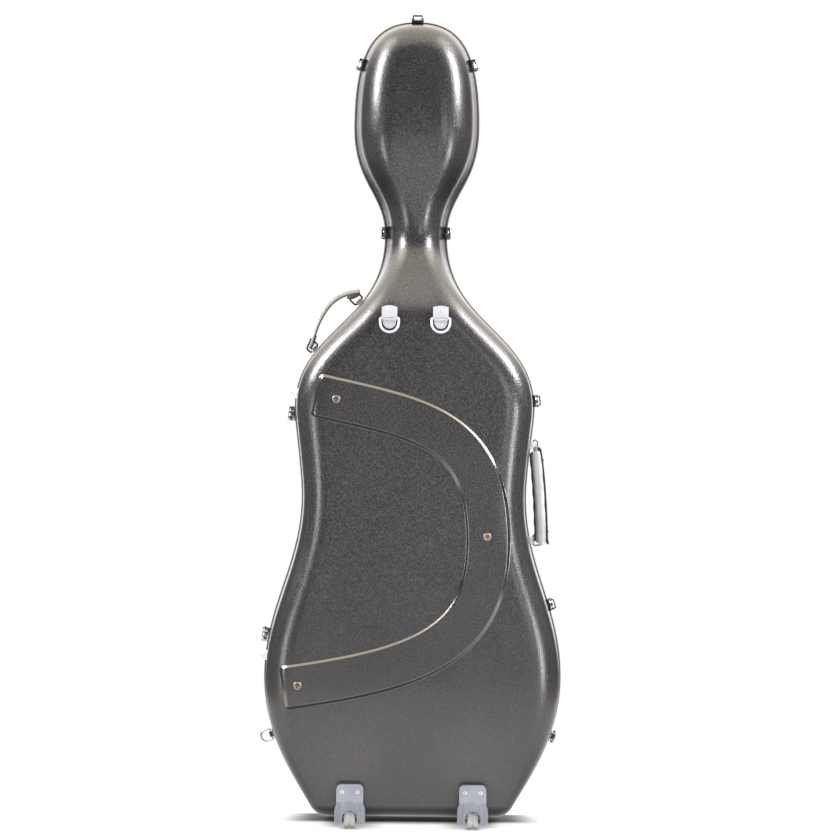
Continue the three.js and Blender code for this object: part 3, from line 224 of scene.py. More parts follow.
def colour(code):
    """A colour as it is seen, such as 5a5a5c, in the linear light that shaders work in."""
    parts = [int(code[i : i + 2], 16) / 255 for i in (0, 2, 4)]
    return tuple(c / 12.92 if c <= 0.04045 else ((c + 0.055) / 1.055) ** 2.4 for c in parts)


FINISHES = {}
print("finishes can be made")

# %% [markdown]
# ## The moulded shell
# The shell is moulded plastic with metallic flakes and a fine pebbled grain under a thin clear
# coat. Its light and dark parts are mostly reflections of the room, so the metallic share and the
# coat matter more than the colour. Grain of about a millimetre is a Voronoi pattern, which has the
# rounded cells of a pebbled mould, and a fine noise puts the flakes' sparkle into the colour. The
# lower part is plainer and a little paler, and that paler tone is a painted reflection of the
# floor.
# Slopes that look up get a warm tone, a painted reflection of the warm ceiling, and undersides get
# a painted shade. Fine scuffs are long thin noise. Where the attribute `smooth` is 1, at the edges
# of the raised band, the grain is rubbed off and the colour is lighter.

# %% Shell finish
shell = Finish("shell_graphite")
mottle = shell.noise(9, 4, 0.6)
grain = shell.cells(430, "SMOOTH_F1")
fine_grain = shell.noise(900, 2, 0.6)
speckle = shell.noise(440, 3, 0.7)
smooth = shell.attribute("smooth")
scuff = shell.noise(60, 3, 0.6, stretch=(5, 5, 0.5)).ramp(0.62, 0.74)
height = shell.axis("Z")
grained = 1 - smooth
layers = {
    "6a6869": speckle.ramp(0.4, 0.66) * grained * (0.45 + 0.55 * height.ramp(0.15, 0.6)),
    # paler towards the bottom: a painted reflection of the floor
    "5f5c5a": (1 - height.ramp(0.08, 0.5)) * 0.35 * grained,
    # warm on slopes that look up: a painted reflection of the warm ceiling
    "635f57": shell.facing().ramp(0.25, 0.8) * 0.4,
    "7c7a78": scuff * 0.12,
    "85827a": smooth,
    # dark on undersides: painted shade
    "1d1b1a": (0 - shell.facing()).ramp(0.2, 0.6),
}
base = shell.mix(mottle.ramp(0.3, 0.7), colour("3c3b3d"), colour("434143"))
for tone, share in layers.items():
    base = shell.mix(share, base, colour(tone))
shell.set(base_color=base, metallic=0.65 + smooth * 0.3, coat_weight=0.6, coat_roughness=0.2)
shell.set(roughness=mottle.ramp(0.3, 0.7, 0.27, 0.32) + scuff * 0.08 - smooth * 0.16)
depth = 1 - smooth * 0.85
pebbles = shell.bump(grain, 0.6 * MM, depth * 0.5)
shell.set(normal=shell.bump(fine_grain, 0.3 * MM, depth * 0.3, pebbles))
FINISHES["shell"] = shell
print("shell finish", len(shell.tree.nodes), "nodes")

# %% [markdown]
# ## Finishes for the fittings
# The fittings are small, so each finish needs one clear idea. Metal has fine rubbing marks in its
# roughness, long in one direction. Black and pale plastics are satin with a faint moulded texture
# and a slow change of tone. The white bumpers let a little light through. Rivets have warm copper
# centres, as in the photo. One function makes all metals and another all plastics, and a table
# gives each its tones and its roughness.

# %% Metals and plastics


def metal_finish(name, tone, worn, roughness):
    made = Finish(name, metallic=1.0)
    rub = made.noise(900, 3, 0.7, stretch=(1, 1, 0.12))
    cloud = made.noise(70, 2)
    made.set(base_color=made.mix(cloud.ramp(0.35, 0.7), colour(tone), colour(worn)))
    made.set(roughness=rub.ramp(0.3, 0.7, roughness, roughness + 0.14))
    made.set(normal=made.bump(rub, 0.03 * MM, 0.4))
    return made


def plastic_finish(name, tone, shade, roughness, grain_scale=900, depth=0.05, coat=0.0):
    made = Finish(name, coat_weight=coat)
    cloud = made.noise(45, 3)
    texture = made.noise(grain_scale, 2, 0.6)
    made.set(base_color=made.mix(cloud.ramp(0.3, 0.7), colour(tone), colour(shade)))
    made.set(roughness=texture.ramp(0.3, 0.7, roughness, roughness + 0.1))
    made.set(normal=made.bump(texture, depth * MM, 0.5))
    return made


METALS = {
    "nickel": ("polished_nickel", "d2d2d4", "bdbdc0", 0.16),
    "steel": ("steel_washer", "a9aaad", "8f9093", 0.3),
    "eyelet": ("eyelet_metal", "b4a7a2", "a0938e", 0.34),
    "bronze": ("dark_bronze", "4d4038", "3b302a", 0.34),
    "copper": ("copper_rivet", "a5806b", "8c6a58", 0.34),
}
PLASTICS = {
    "black": ("black_plastic", "1b1a1b", "232122", 0.32),
    "rim": ("rim_brown", "62554d", "51463f", 0.34, 500, 0.06),
    "bracket": ("bracket_nickel", "d4d4d7", "c4c4c8", 0.26),
    "ring": ("bright_ring", "dfdfe3", "d2d2d7", 0.3),
    "pale": ("pale_plastic", "c6c7cd", "bcbdc4", 0.3),
    "housing": ("housing_plastic", "898c96", "80838d", 0.4, 700, 0.08),
    "bumper": ("bumper_plastic", "ececea", "e2e2df", 0.28),
    "rubber": ("black_rubber", "1d1d1e", "262626", 0.7, 600, 0.12),
    "wheel": ("wheel_polyurethane", "bdbdb9", "acaca8", 0.24, 400, 0.05, 0.3),
}
FINISHES |= {key: metal_finish(*values) for key, values in METALS.items()}
FINISHES |= {key: plastic_finish(*values) for key, values in PLASTICS.items()}
FINISHES["bracket"].set(metallic=0.35)
FINISHES["ring"].set(metallic=0.2)
FINISHES["bumper"].set(subsurface_weight=0.25, subsurface_radius=(0.01, 0.01, 0.01))
print("finishes", sorted(FINISHES))

# %% [markdown]
# ## Finishes for the soft parts
# Leather has a pore pattern, and creases that are a little darker and rougher. Plush is rough,
# and its pile lies in brushed patches that a slow noise gives, with a sheen on top. Webbing and
# thread are woven, so two sine waves cross on them.

# %% Leather, plush and webbing


def leather_finish(name, tone, shade, pores=900.0):
    made = Finish(name, sheen_weight=0.1)
    cells = made.cells(pores, "F1")
    creases = made.noise(160, 4, 0.65)
    cloud = made.noise(40, 3)
    tint = made.mix(cloud.ramp(0.3, 0.7), colour(tone), colour(shade))
    made.set(base_color=made.mix(creases.ramp(0.55, 0.8) * 0.35, tint, colour(shade)))
    made.set(roughness=creases.ramp(0.3, 0.7, 0.46, 0.62))
    wrinkled = made.bump(creases, 0.5 * MM, 0.3)
    made.set(normal=made.bump(cells, 0.2 * MM, 0.35, wrinkled))
    return made


def plush_finish(name, tone, shade):
    made = Finish(name, sheen_weight=0.6, sheen_roughness=0.4)
    pile = made.noise(1800, 3, 0.7)
    brushed = made.noise(26, 4, 0.6, stretch=(1, 1, 0.4))
    tint = made.mix(brushed.ramp(0.35, 0.68), colour(tone), colour(shade))
    made.set(base_color=made.mix(pile.ramp(0.4, 0.8) * 0.5, tint, colour(shade)))
    made.set(roughness=pile.ramp(0.3, 0.7, 0.85, 0.98))
    made.set(normal=made.bump(pile, 0.6 * MM, 0.6, made.bump(brushed, 2 * MM, 0.3)))
    return made


def webbing_finish(name, tone, shade, ribs=1400.0):
    made = Finish(name, sheen_weight=0.3)
    across = (made.axis("X") * ribs).maths("SINE")
    along = (made.axis("Z") * ribs).maths("SINE")
    weave = (across * along) * 0.5 + 0.5
    made.set(base_color=made.mix(weave, colour(tone), colour(shade)))
    made.set(roughness=weave.ramp(0, 1, 0.7, 0.9))
    made.set(normal=made.bump(weave, 0.3 * MM, 0.6))
    return made


LEATHERS = {
    "grip": ("grip_leather", "c6cac9", "b4b9b8"),
    "bow": ("bow_leather", "dadcd8", "c9ccc8"),
    "edge": ("edge_leather", "3a2a24", "2a1e1a", 1200.0),
    "hem": ("hem_leather", "75665b", "64564c", 1200.0),
}
FINISHES |= {key: leather_finish(*values) for key, values in LEATHERS.items()}
FINISHES["lining"] = plush_finish("lining_plush", "343845", "434857")
FINISHES["pad"] = plush_finish("pad_plush", "3c4150", "4a5060")
FINISHES["strap"] = webbing_finish("strap_webbing", "1c1d22", "2e3038")
FINISHES["thread"] = webbing_finish("thread", "d8d6cf", "c3c0b8", 9000.0)
print("finishes", len(FINISHES))

# %% [markdown]
# ## Working by hand, in code
# Most pieces are made as they would be by hand: a primitive is added, shaped in edit mode and
# finished with a bevel. Each helper below is one such habit. All of them leave the object at the
# origin with its place in its mesh. `edited` selects a whole piece in edit mode for each step it is
# given, such as a spin, a merge of double points or a recalculation of the normals.

# %% Habits of object mode and edit mode
WELD = 0.002 * MM


def select_only(*objects):
    if bpy.context.mode != "OBJECT":
        bpy.ops.object.mode_set(mode="OBJECT")
    bpy.ops.object.select_all(action="DESELECT")
    for each in objects:
        each.select_set(True)
    bpy.context.view_layer.objects.active = objects[0]


def settle(piece, matrix=None):
    """Puts the piece's place into its mesh, after moving it by a matrix."""
    if matrix is not None:
        piece.matrix_world = matrix @ piece.matrix_world
    bpy.context.view_layer.update()
    piece.data.transform(piece.matrix_world)
    piece.matrix_world = Matrix.Identity(4)
    return piece


def with_modifier(piece, kind, **settings):
    select_only(piece)
    modifier = piece.modifiers.new(kind, kind)
    for key, value in settings.items():
        setattr(modifier, key, value)
    bpy.ops.object.modifier_apply(modifier=modifier.name)
    return piece


def rounded(piece, width, segments=2, angle=30):
    return with_modifier(
        piece, "BEVEL", width=width, segments=segments,
        limit_method="ANGLE", angle_limit=math.radians(angle),
    )


def smoothed(piece, angle):
    select_only(piece)
    bpy.ops.object.shade_smooth_by_angle(angle=math.radians(angle))
    return piece


def edited(piece, *steps):
    """Runs steps in edit mode, each with all of the piece selected."""
    select_only(piece)
    bpy.ops.object.mode_set(mode="EDIT")
    for step in steps:
        bpy.ops.mesh.select_all(action="SELECT")
        step()
    bpy.ops.object.mode_set(mode="OBJECT")
    return piece


def merge():
    bpy.ops.mesh.remove_doubles(threshold=WELD)


def face_outwards():
    bpy.ops.mesh.normals_make_consistent(inside=False)


print("habits ready, points closer than", WELD, "m are merged")

# %% Blocks, turned parts and outlines


def named(piece, name):
    piece.name = name
    piece.data.name = name
    return piece


def placed(name, data):
    """A new object with this data, in the scene."""
    piece = bpy.data.objects.new(name, data)
    bpy.context.scene.collection.objects.link(piece)
    return piece


def mesh_piece(name, points, faces, edges=()):
    data = bpy.data.meshes.new(name)
    data.from_pydata([tuple(point) for point in points], edges, faces)
    return placed(name, data)


def block(name, low, high, bevel, segments=2):
    """A block between two corners, with rounded edges."""
    bpy.ops.object.select_all(action="DESELECT")
    low, high = Vector(low), Vector(high)
    bpy.ops.mesh.primitive_cube_add(size=1, location=(low + high) / 2)
    piece = named(bpy.context.object, name)
    piece.scale = high - low
    return rounded(settle(piece), bevel, segments)


def spun(name, profile, steps):
    """A turned part: a profile of radius and height, spun round the Z axis."""

    def spin():
        bpy.ops.mesh.spin(steps=steps, angle=2 * math.pi, center=(0, 0, 0), axis=(0, 0, 1))

    points = [(radius, 0, height) for radius, height in profile]
    piece = mesh_piece(name, points, [], [(i, i + 1) for i in range(len(points) - 1)])
    return edited(piece, spin, merge, face_outwards)


def extruded(name, outline, depth, bevel, segments):
    """A flat outline in X and Y, extruded along Z, with rounded edges."""

    def extrude():
        bpy.ops.mesh.extrude_region_move(TRANSFORM_OT_translate={"value": (0, 0, depth)})

    piece = mesh_piece(name, [(x, y, 0) for x, y in outline], [tuple(range(len(outline)))])
    return rounded(edited(piece, extrude, face_outwards), bevel, segments)


def joined(name, *pieces):
    select_only(*pieces)
    bpy.ops.object.join()
    return named(bpy.context.object, name)


print("blocks, turned parts and outlines ready")

# %% [markdown]
# ## Dressing a piece
# Small moulded and pressed fittings already have their exact form in the CAD model, but with sharp
# edges and as loose triangles. `plain_copy` copies such a node, merges its points and dissolves the
# lines within its flats, and `softened_node` then rounds its edges. Every finished piece goes
# through `dressed`, which gives it its finish, its body and the nodes that it replaces.

# %% Dressing and softened copies
SHOWN = []


def dressed(piece, body, finish, replaces=(), angle=35):
    """A finished piece: its material, its body and the CAD nodes it stands for."""
    smoothed(piece, angle)
    piece.data.materials.clear()
    piece.data.materials.append(FINISHES[finish].material)
    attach(piece, body)
    if replaces:
        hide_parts(*replaces)
    SHOWN.append(piece.name)
    return piece


def plain_copy(node, name):
    """A copy of a CAD node as one closed mesh, free of its body."""

    def dissolve():
        bpy.ops.mesh.dissolve_limited(angle_limit=math.radians(0.6))

    piece = cad[node].copy()
    piece.data = cad[node].data.copy()
    bpy.context.scene.collection.objects.link(piece)
    named(piece, name)
    piece.parent = None
    for key in list(piece.keys()):
        del piece[key]
    piece.matrix_world = Matrix.Identity(4)
    return edited(piece, merge, dissolve)


def softened_node(node, word, body, finish, width=0.5, segments=2, sharp=28, angle=35):
    """A CAD node in its own form, with its sharp edges rounded. width is in mm."""
    made = rounded(plain_copy(node, f"{node}_{word}"), width * MM, segments, sharp)
    return dressed(made, body, finish, [node], angle=angle)


print("helpers ready for", len(cad), "nodes")

# %% [markdown]
# ## The outline of the case
# The rim line follows the cello: foot, lower bout, waist, upper bout, neck and head. The CAD model
# walks that line in a few dozen straight steps, which is enough for its solids but would show as
# corners in a picture. The same curves are repeated here with ten times the steps. Each station
# also says how deep the shell is and how it rounds over to its flat back or front. All of these
# sizes are in millimetres.

# %% Stations and curves
FOOT_CORNER = (142, 10)
LOWER_BOUT = (255, 246)
WAIST = (193, 555)
UPPER_BOUT = (206.5, 705)
NECK = (53.4, 1003)
HEAD = (107.7, 1191)
TOP = (0, 1372)
STATIONS = {
    "z": [10, 246, 555, 705, 850, 1003, 1191, 1372],
    "round": [26, 48, 44, 48, None, 40, 58, 58],
    "deep": [28, 46, 46, 46, None, 58, 78, 78],
    "draft": [5, None, None, None, 5, 9, 8, 8],
    "back": [112, 140, 140, None, 140, 50, 72, 60],
    "lid": [118, 145, 145, None, None, 102, 98, 92],
}
CORNER = 40
CORNER_TURN = math.radians(60)
SEAM = 55


def bezier(points, t):
    a, b, c, d = (np.array(point, float) for point in points)
    s = 1 - t
    return s**3 * a + 3 * s * s * t * b + 3 * s * t * t * c + t**3 * d


def rising(low, high, shares):
    """A curve between two widths that starts and ends upright."""
    (x0, z0), (x1, z1) = low, high
    height = z1 - z0
    return [low, (x0, z0 + shares[0] * height), (x1, z1 - shares[1] * height), high]


def rim_curves():
    """Bezier curves along the right half of the rim, from the foot to the top."""
    pull = CORNER * 4 / 3 * math.tan(CORNER_TURN / 4)
    way = (math.cos(CORNER_TURN), math.sin(CORNER_TURN))
    foot_x, foot_z = FOOT_CORNER
    start_x, start_z = foot_x + CORNER * way[1], foot_z + CORNER - CORNER * way[0]
    corner = [
        FOOT_CORNER, (foot_x + pull, foot_z), (start_x - pull * way[0], start_z - pull * way[1]),
        (start_x, start_z),
    ]
    bout_x, bout_z = LOWER_BOUT
    height = bout_z - start_z
    flank = [
        (start_x, start_z), (start_x + 0.3 * height * way[0], start_z + 0.3 * height * way[1]),
        (bout_x, bout_z - 0.45 * height), LOWER_BOUT,
    ]
    crown = TOP[1] - HEAD[1]
    return [
        corner, flank,
        rising(LOWER_BOUT, WAIST, (0.394, 0.385)),
        rising(WAIST, UPPER_BOUT, (0.316, 0.15)),
        rising(UPPER_BOUT, NECK, (0.468, 0.517)),
        rising(NECK, HEAD, (0.393, 0.534)),
        [HEAD, (HEAD[0], HEAD[1] + 0.733 * crown), (0.41 * crown, TOP[1]), TOP],
    ]


print("rim curves", len(rim_curves()))

# %% Places on the rim
HALF_PLACES = 150
FINE_STEPS = 400


def rim_places(count, bend=90):
    """Places on the right half: x, z and the way along, closer together where the rim bends."""
    shares = np.linspace(0, 1, FINE_STEPS)[:-1]
    fine = np.array([bezier(curve, t) for curve in rim_curves() for t in shares] + [TOP])
    steps = np.diff(fine, axis=0)
    angle = np.unwrap(np.arctan2(steps[:, 1], steps[:, 0]))
    cost = np.hypot(steps[:, 0], steps[:, 1])
    cost[1:] += bend * np.abs(np.diff(angle))
    total = np.concatenate([[0], np.cumsum(cost)])
    wanted = np.linspace(0, total[-1], count + 1)
    x = np.interp(wanted, total, fine[:, 0])
    z = np.interp(wanted, total, fine[:, 1])
    along = np.interp(wanted, (total[:-1] + total[1:]) / 2, angle)
    along[0], along[-1] = 0.0, math.pi
    return [(x[i], z[i], math.cos(along[i]), math.sin(along[i])) for i in range(count + 1)]


def size_at(name, z):
    """A size at height z, eased between the stations that state it."""
    stated = [(h, v) for h, v in zip(STATIONS["z"], STATIONS[name]) if v is not None]
    if z <= stated[0][0]:
        return stated[0][1]
    for (z0, v0), (z1, v1) in zip(stated, stated[1:]):
        if z <= z1:
            t = (z - z0) / (z1 - z0)
            return v0 + (v1 - v0) * t * t * (3 - 2 * t)
    return stated[-1][1]


right_half = rim_places(HALF_PLACES)
left_half = [(-x, z, ax, -az) for x, z, ax, az in reversed(right_half[:-1])]
RIM = right_half + left_half
print("rim places", len(RIM), "highest", max(place[1] for place in RIM))

# %% [markdown]
# ## The two shells
# Each shell is one smooth moulding: a slightly drafted wall, a quarter round of about 46 mm and a
# flat. Primitives can't give that changing section, so each skin is built ring by ring from the
# rim inwards, and its flat is closed with a ladder of level rows. Solidify then gives it its wall.
# An outer skin rises straight behind the lip of the rim before its draft begins. Without that, a
# crevice opens there and shows as a black line along the silhouette.

# %% Sections of a shell
PROUD = 2.5
EDGE = 3
WALL_STEPS = 5
ROUND_STEPS = 14
LIP = 8


def ring_point(place, inset, y):
    x, z, ax, az = place
    return Vector((x - az * inset, y, z + ax * inset)) * MM


def section(half, place, grow):
    """Pairs of inset and depth from the seam to the flat.

    half is -1 for the back and 1 for the lid, and grow moves the skin outwards, or inwards for a
    liner, which leans all the way from the seam.
    """
    name = "back" if half < 0 else "lid"
    z = place[1]
    bend, draft = size_at("round", z), size_at("draft", z)
    inset = PROUD + draft + bend
    depth = size_at(name, z + place[2] * inset)
    most = 0.75 * (depth - SEAM) if half > 0 else depth
    deep = min(size_at("deep", z), most)
    centre = half * (depth - deep)
    start = SEAM + half * EDGE
    clear = start + half * min(LIP, abs(centre - start) / 2)
    pairs = []
    for i in range(WALL_STEPS):
        if grow == 0:
            share = max(0, (i - 1) / (WALL_STEPS - 1))
            y = clear + (centre - clear) * (i - 1) / (WALL_STEPS - 1) if i else start
        else:
            y = start + (centre - start) * i / WALL_STEPS
            share = abs((y - SEAM) / (centre - SEAM))
        pairs.append((PROUD - grow + draft - draft * (1 - share), y))
    for i in range(ROUND_STEPS + 1):
        angle = math.pi / 2 * i / ROUND_STEPS
        along, out = math.cos(angle), math.sin(angle)
        pairs.append((inset - (bend + grow) * along, centre + half * (deep + grow) * out))
    return pairs


print("pairs in a section", len(section(-1, RIM[0], 0)))

# %% Skins by rings
ACROSS = 40
SHELL_WALL = 3


def ring_faces(rings, count, closed=False):
    """Quads between rings of count points. A closed tube also joins its last ring to its first."""
    faces = []
    for ring in range(rings if closed else rings - 1):
        here, there = ring * count, (ring + 1) % rings * count
        for i in range(count):
            after = (i + 1) % count
            faces.append((here + i, here + after, there + after, there + i))
    return faces


def skin(name, half, grow):
    count = len(RIM)
    sections = [section(half, place, grow) for place in RIM]
    rings = len(sections[0])
    points = []
    for ring in range(rings):
        points += [ring_point(place, *pairs[ring]) for place, pairs in zip(RIM, sections)]
    faces = ring_faces(rings, count)
    inner = (rings - 1) * count
    rungs = []
    for i in range(HALF_PLACES):
        right, left = inner + i, inner + count - 1 - i
        row = [right]
        for k in range(1, ACROSS):
            points.append(points[right].lerp(points[left], k / ACROSS))
            row.append(len(points) - 1)
        rungs.append(row + [left])
    for low, high in zip(rungs, rungs[1:]):
        faces += [(low[k], high[k], high[k + 1], low[k + 1]) for k in range(ACROSS)]
    top = inner + HALF_PLACES
    faces += [(rungs[-1][k], top, rungs[-1][k + 1]) for k in range(ACROSS)]
    if half > 0:
        faces = [tuple(reversed(face)) for face in faces]
    return mesh_piece(name, points, faces)


def walled(piece, wall):
    return with_modifier(piece, "SOLIDIFY", thickness=wall * MM, offset=-1, use_rim=True)


skins = {}
for node, half, body in (("back_shell", -1, "case_back"), ("lid_shell", 1, "lid")):
    made = walled(skin(f"{node}_skin", half, 0), SHELL_WALL)
    skins[node] = dressed(made, body, "shell", [node], angle=50)
    print(made.name, len(made.data.polygons), "faces")

# %% [markdown]
# ## The raised band
# The back carries a broad raised band in the shape of a letter C, moulded with the shell. It is
# 3.5 mm high with a small slope all round. It is made as a strip of the shell's own surface: a grid
# that runs along the band's centre line, dropped onto the shell by ray casting and then lifted,
# with its edges eased down and tucked under the skin. The slope is marked with the attribute that
# the shell's finish reads as its rubbed, lighter parts.

# %% The band's line and its slope
BAND_HALF = 37.5
BAND_RISE = 3.5
BAND_CORNER = 9
FILLET = 0.9
SLOPE_WIDTH = 5.6
SMOOTH_MARGIN = 0.1
BAND_WALL = 1.2
LENGTH_STEPS = 140
UPPER_BAND = [(-166.8, 727), (7, 687.9), (125.4, 679), (125.4, 480)]
LOWER_BAND = [(125.4, 480), (125.4, 298), (-10, 266), (-218, 234.7)]
EDGE_STATIONS = np.array([0, 0.3, 0.6, 0.9, 2.2, 3.5, 4.7, 5.0, 5.3, 5.6, 6.0, 7.5, 9.2])


def band_rise(gap):
    """Height of the band's skin above the shell, by the distance from its edge, in mm."""
    steep = BAND_RISE / (SLOPE_WIDTH - FILLET)
    if gap < FILLET:
        return max(gap * 0.5, -2) if gap < 0 else steep * gap * gap / (2 * FILLET)
    if gap < SLOPE_WIDTH - FILLET:
        return steep * (gap - FILLET / 2)
    return BAND_RISE - steep * max(SLOPE_WIDTH - gap, 0) ** 2 / (2 * FILLET)


def band_line():
    shares = np.linspace(0, 1, LENGTH_STEPS // 2 + 1)
    upper = [bezier(UPPER_BAND, t) for t in shares]
    return np.array(upper + [bezier(LOWER_BAND, t) for t in shares[1:]])


def close_to_edges(inner, length):
    """Stations from 0 to length that lie close together near both ends."""
    middle = np.linspace(EDGE_STATIONS[-1], length - EDGE_STATIONS[-1], inner + 2)[1:-1]
    return np.concatenate([EDGE_STATIONS, middle, length - EDGE_STATIONS[::-1]])


line = band_line()
ways = np.gradient(line, axis=0)
ways /= np.linalg.norm(ways, axis=1)[:, None]
lengths = np.concatenate([[0], np.cumsum(np.linalg.norm(np.diff(line, axis=0), axis=1))])
print("band", round(float(lengths[-1])), "mm long and", 2 * BAND_HALF, "mm wide")

# %% The band
alongs = close_to_edges(LENGTH_STEPS, lengths[-1])
acrosses = close_to_edges(4, 2 * BAND_HALF)
points, slopes = [], []
for s in alongs:
    centre = np.array([np.interp(s, lengths, line[:, k]) for k in (0, 1)])
    way = np.array([np.interp(s, lengths, ways[:, k]) for k in (0, 1)])
    side = np.array([-way[1], way[0]]) / np.hypot(*way)
    to_end = max(BAND_CORNER - min(s, lengths[-1] - s), 0)
    for w in acrosses:
        x, z = centre + side * (w - BAND_HALF)
        to_side = max(BAND_CORNER - min(w, 2 * BAND_HALF - w), 0)
        gap = BAND_CORNER - math.hypot(to_end, to_side)
        slopes.append(1.0 if gap < SLOPE_WIDTH + SMOOTH_MARGIN else 0.0)
        start = Vector((x * MM, -0.3, z * MM))
        hit, place, _, _ = skins["back_shell"].ray_cast(start, Vector((0, 1, 0)))
        depth = place.y if hit else 0
        points.append((x * MM, depth - band_rise(gap) * MM, z * MM))
row = len(acrosses)
corners = [i * row + j for i in range(len(alongs) - 1) for j in range(row - 1)]
faces = [(a, a + 1, a + row + 1, a + row) for a in corners]
band = edited(mesh_piece("back_raised_band", points, faces), face_outwards)
if sum(face.normal.y * face.area for face in band.data.polygons) > 0:
    band.data.flip_normals()
mark = band.data.attributes.new("smooth", "FLOAT", "POINT")
mark.data.foreach_set("value", slopes)
walled(band, BAND_WALL)
dressed(band, "case_back", "shell", angle=28)
print("band", len(band.data.polygons), "faces")

# %% [markdown]
# ## Rims and seal
# Each shell ends in a rim frame, a dark brown profile with an L section whose lip turns in at the
# seam. Between the frames lies a rubber seal. All three are one section swept round the outline.
# A section is a list of pairs: how far in from the rim line, and how far from the seam.

# %% Sweeps round the outline
RIM_SECTION = [
    (0.5, 1.2), (7, 1.2), (7, 2.7), (2.3, 2.7), (2.3, 11.0), (2.1, 11.2), (1.5, 11.1), (0.6, 10.2),
    (0.1, 9.0), (0, 8.0), (0, 1.8), (0.12, 1.4),
]
SEAL_SECTION = [
    (1, -0.9), (1.4, -0.9), (4.6, -0.9), (5, -0.5), (5, 0.5), (4.6, 0.9), (1.4, 0.9), (1, 0.5),
]


def tube(name, points, count, closed):
    """A skin through rings of count points. An open one is closed by flat caps."""
    faces = ring_faces(len(points) // count, count, closed)
    if not closed:
        last = range(len(points) - count, len(points))
        faces += [tuple(range(count)), tuple(last)[::-1]]
    return edited(mesh_piece(name, points, faces), face_outwards)


def swept(name, shape, half=1):
    """A closed section, swept round the whole rim."""
    pairs = [(inset, SEAM + half * y) for inset, y in shape]
    points = [ring_point(place, *pair) for place in RIM for pair in pairs]
    return tube(name, points, len(pairs), closed=True)


back_rim = swept("back_rim_frame", RIM_SECTION, -1)
lid_rim = swept("lid_rim_frame", RIM_SECTION)
seal = swept("rim_seal_strip", SEAL_SECTION)
dressed(back_rim, "case_back", "rim", ["back_valance"], angle=40)
dressed(lid_rim, "lid", "rim", ["lid_valance"], angle=40)
dressed(seal, "case_back", "rubber", ["rim_seal"], angle=50)
print("rims and seal swept")

# %% [markdown]
# ## Frames for the fittings
# Every fitting sits on a frame: X along the axis that it turns on, Y outwards from the case and Z
# towards the lid. The CAD joints state those axes, so the fittings line up with them. A rivet or a
# screw stands on a place and a normal, which a ray from the camera's side finds on the surface.

# %% Frames


def frame_at(origin, along, outwards):
    along, outwards = Vector(along).normalized(), Vector(outwards).normalized()
    made = Matrix((along, outwards, along.cross(outwards))).transposed().to_4x4()
    made.translation = Vector(origin)
    return made


def joint_frame(name, tilt=0.0):
    """X along the joint's axis, Y outwards from the rim and Z towards the lid."""
    axis = Vector(joints[name]["axis"])
    made = frame_at(joints[name]["pos_m"], axis, (axis.z, 0, -axis.x))
    return made @ Matrix.Rotation(-tilt, 4, "X")


def moved_frame(origin_frame, x, y, z):
    return origin_frame @ Matrix.Translation((x * MM, y * MM, z * MM))


def standing(origin, normal):
    made = Vector(normal).to_track_quat("Z", "Y").to_matrix().to_4x4()
    made.translation = Vector(origin)
    return made


def surface_at(piece, x, z):
    """Where a ray from the camera's side meets a piece, and the normal there."""
    hit, place, normal, _ = piece.ray_cast(Vector((x * MM, -0.4, z * MM)), Vector((0, 1, 0)))
    return (place, normal) if hit else (Vector((x * MM, -0.14, z * MM)), Vector((0, -1, 0)))


# %% [markdown]
# ## Wires, turned parts and rivets
# Wire parts are a path with rounded corners and a round section, made as a bevelled curve and
# turned into a mesh. Turned parts, such as pins and axles, are a profile spun round an axis. Rivet
# heads are low domes, turned the same way.

# %% Wires and rivets
CORNER_STEPS = 5


def filleted(points, radius, closed=False):
    """The path with its corners rounded."""
    points = [Vector(point) * MM for point in points]
    made = []
    for i, point in enumerate(points):
        if not closed and i in (0, len(points) - 1):
            made.append(point)
            continue
        before, after = points[i - 1] - point, points[(i + 1) % len(points)] - point
        reach = min(radius * MM, before.length / 2.02, after.length / 2.02)
        start, end = point + before.normalized() * reach, point + after.normalized() * reach
        for k in range(CORNER_STEPS + 1):
            t = k / CORNER_STEPS
            made.append((1 - t) ** 2 * start + 2 * t * (1 - t) * point + t * t * end)
    return made


def wire_piece(name, path, radius, closed):
    data = bpy.data.curves.new(name, "CURVE")
    data.dimensions = "3D"
    data.bevel_depth = radius * MM
    data.bevel_resolution = 3
    data.use_fill_caps = True
    spline = data.splines.new("POLY")
    spline.points.add(len(path) - 1)
    for each, place in zip(spline.points, path):
        each.co = (*place, 1)
    spline.use_cyclic_u = closed
    select_only(placed(name, data))
    bpy.ops.object.convert(target="MESH")
    return edited(named(bpy.context.object, name), merge, face_outwards)


def wired(name, path, radius, place, body, finish, replaces=(), closed=True):
    """A bent wire on its frame, dressed."""
    made = settle(wire_piece(name, path, radius, closed), place)
    return dressed(made, body, finish, replaces)


def millimetres(pairs):
    return [(a * MM, b * MM) for a, b in pairs]


def turned(name, profile, steps, place, body, finish, replaces=(), angle=35):
    """A turned part on its frame, dressed. The profile is in mm."""
    made = settle(spun(name, millimetres(profile), steps), place)
    return dressed(made, body, finish, replaces, angle=angle)


def rivet(name, radius, height, steps, place, body, finish):
    """A low head with a rounded edge, its face towards the frame's +Z."""
    profile = [(0, -1), (radius, -1), (radius, 0.3 * height)]
    for k in range(1, 7):
        angle = math.pi / 2 * k / 6
        profile.append((radius * math.cos(angle), height * (0.3 + 0.7 * math.sin(angle))))
    return turned(name, profile, steps, place, body, finish)


print("wires and rivets ready")

# %% [markdown]
# ## Rivets on the band
# Three rivets hold the inner frame through the band. Each is a rolled eyelet: a domed pale ring
# about 14 mm across on a black washer, with a copper centre sunk into it.

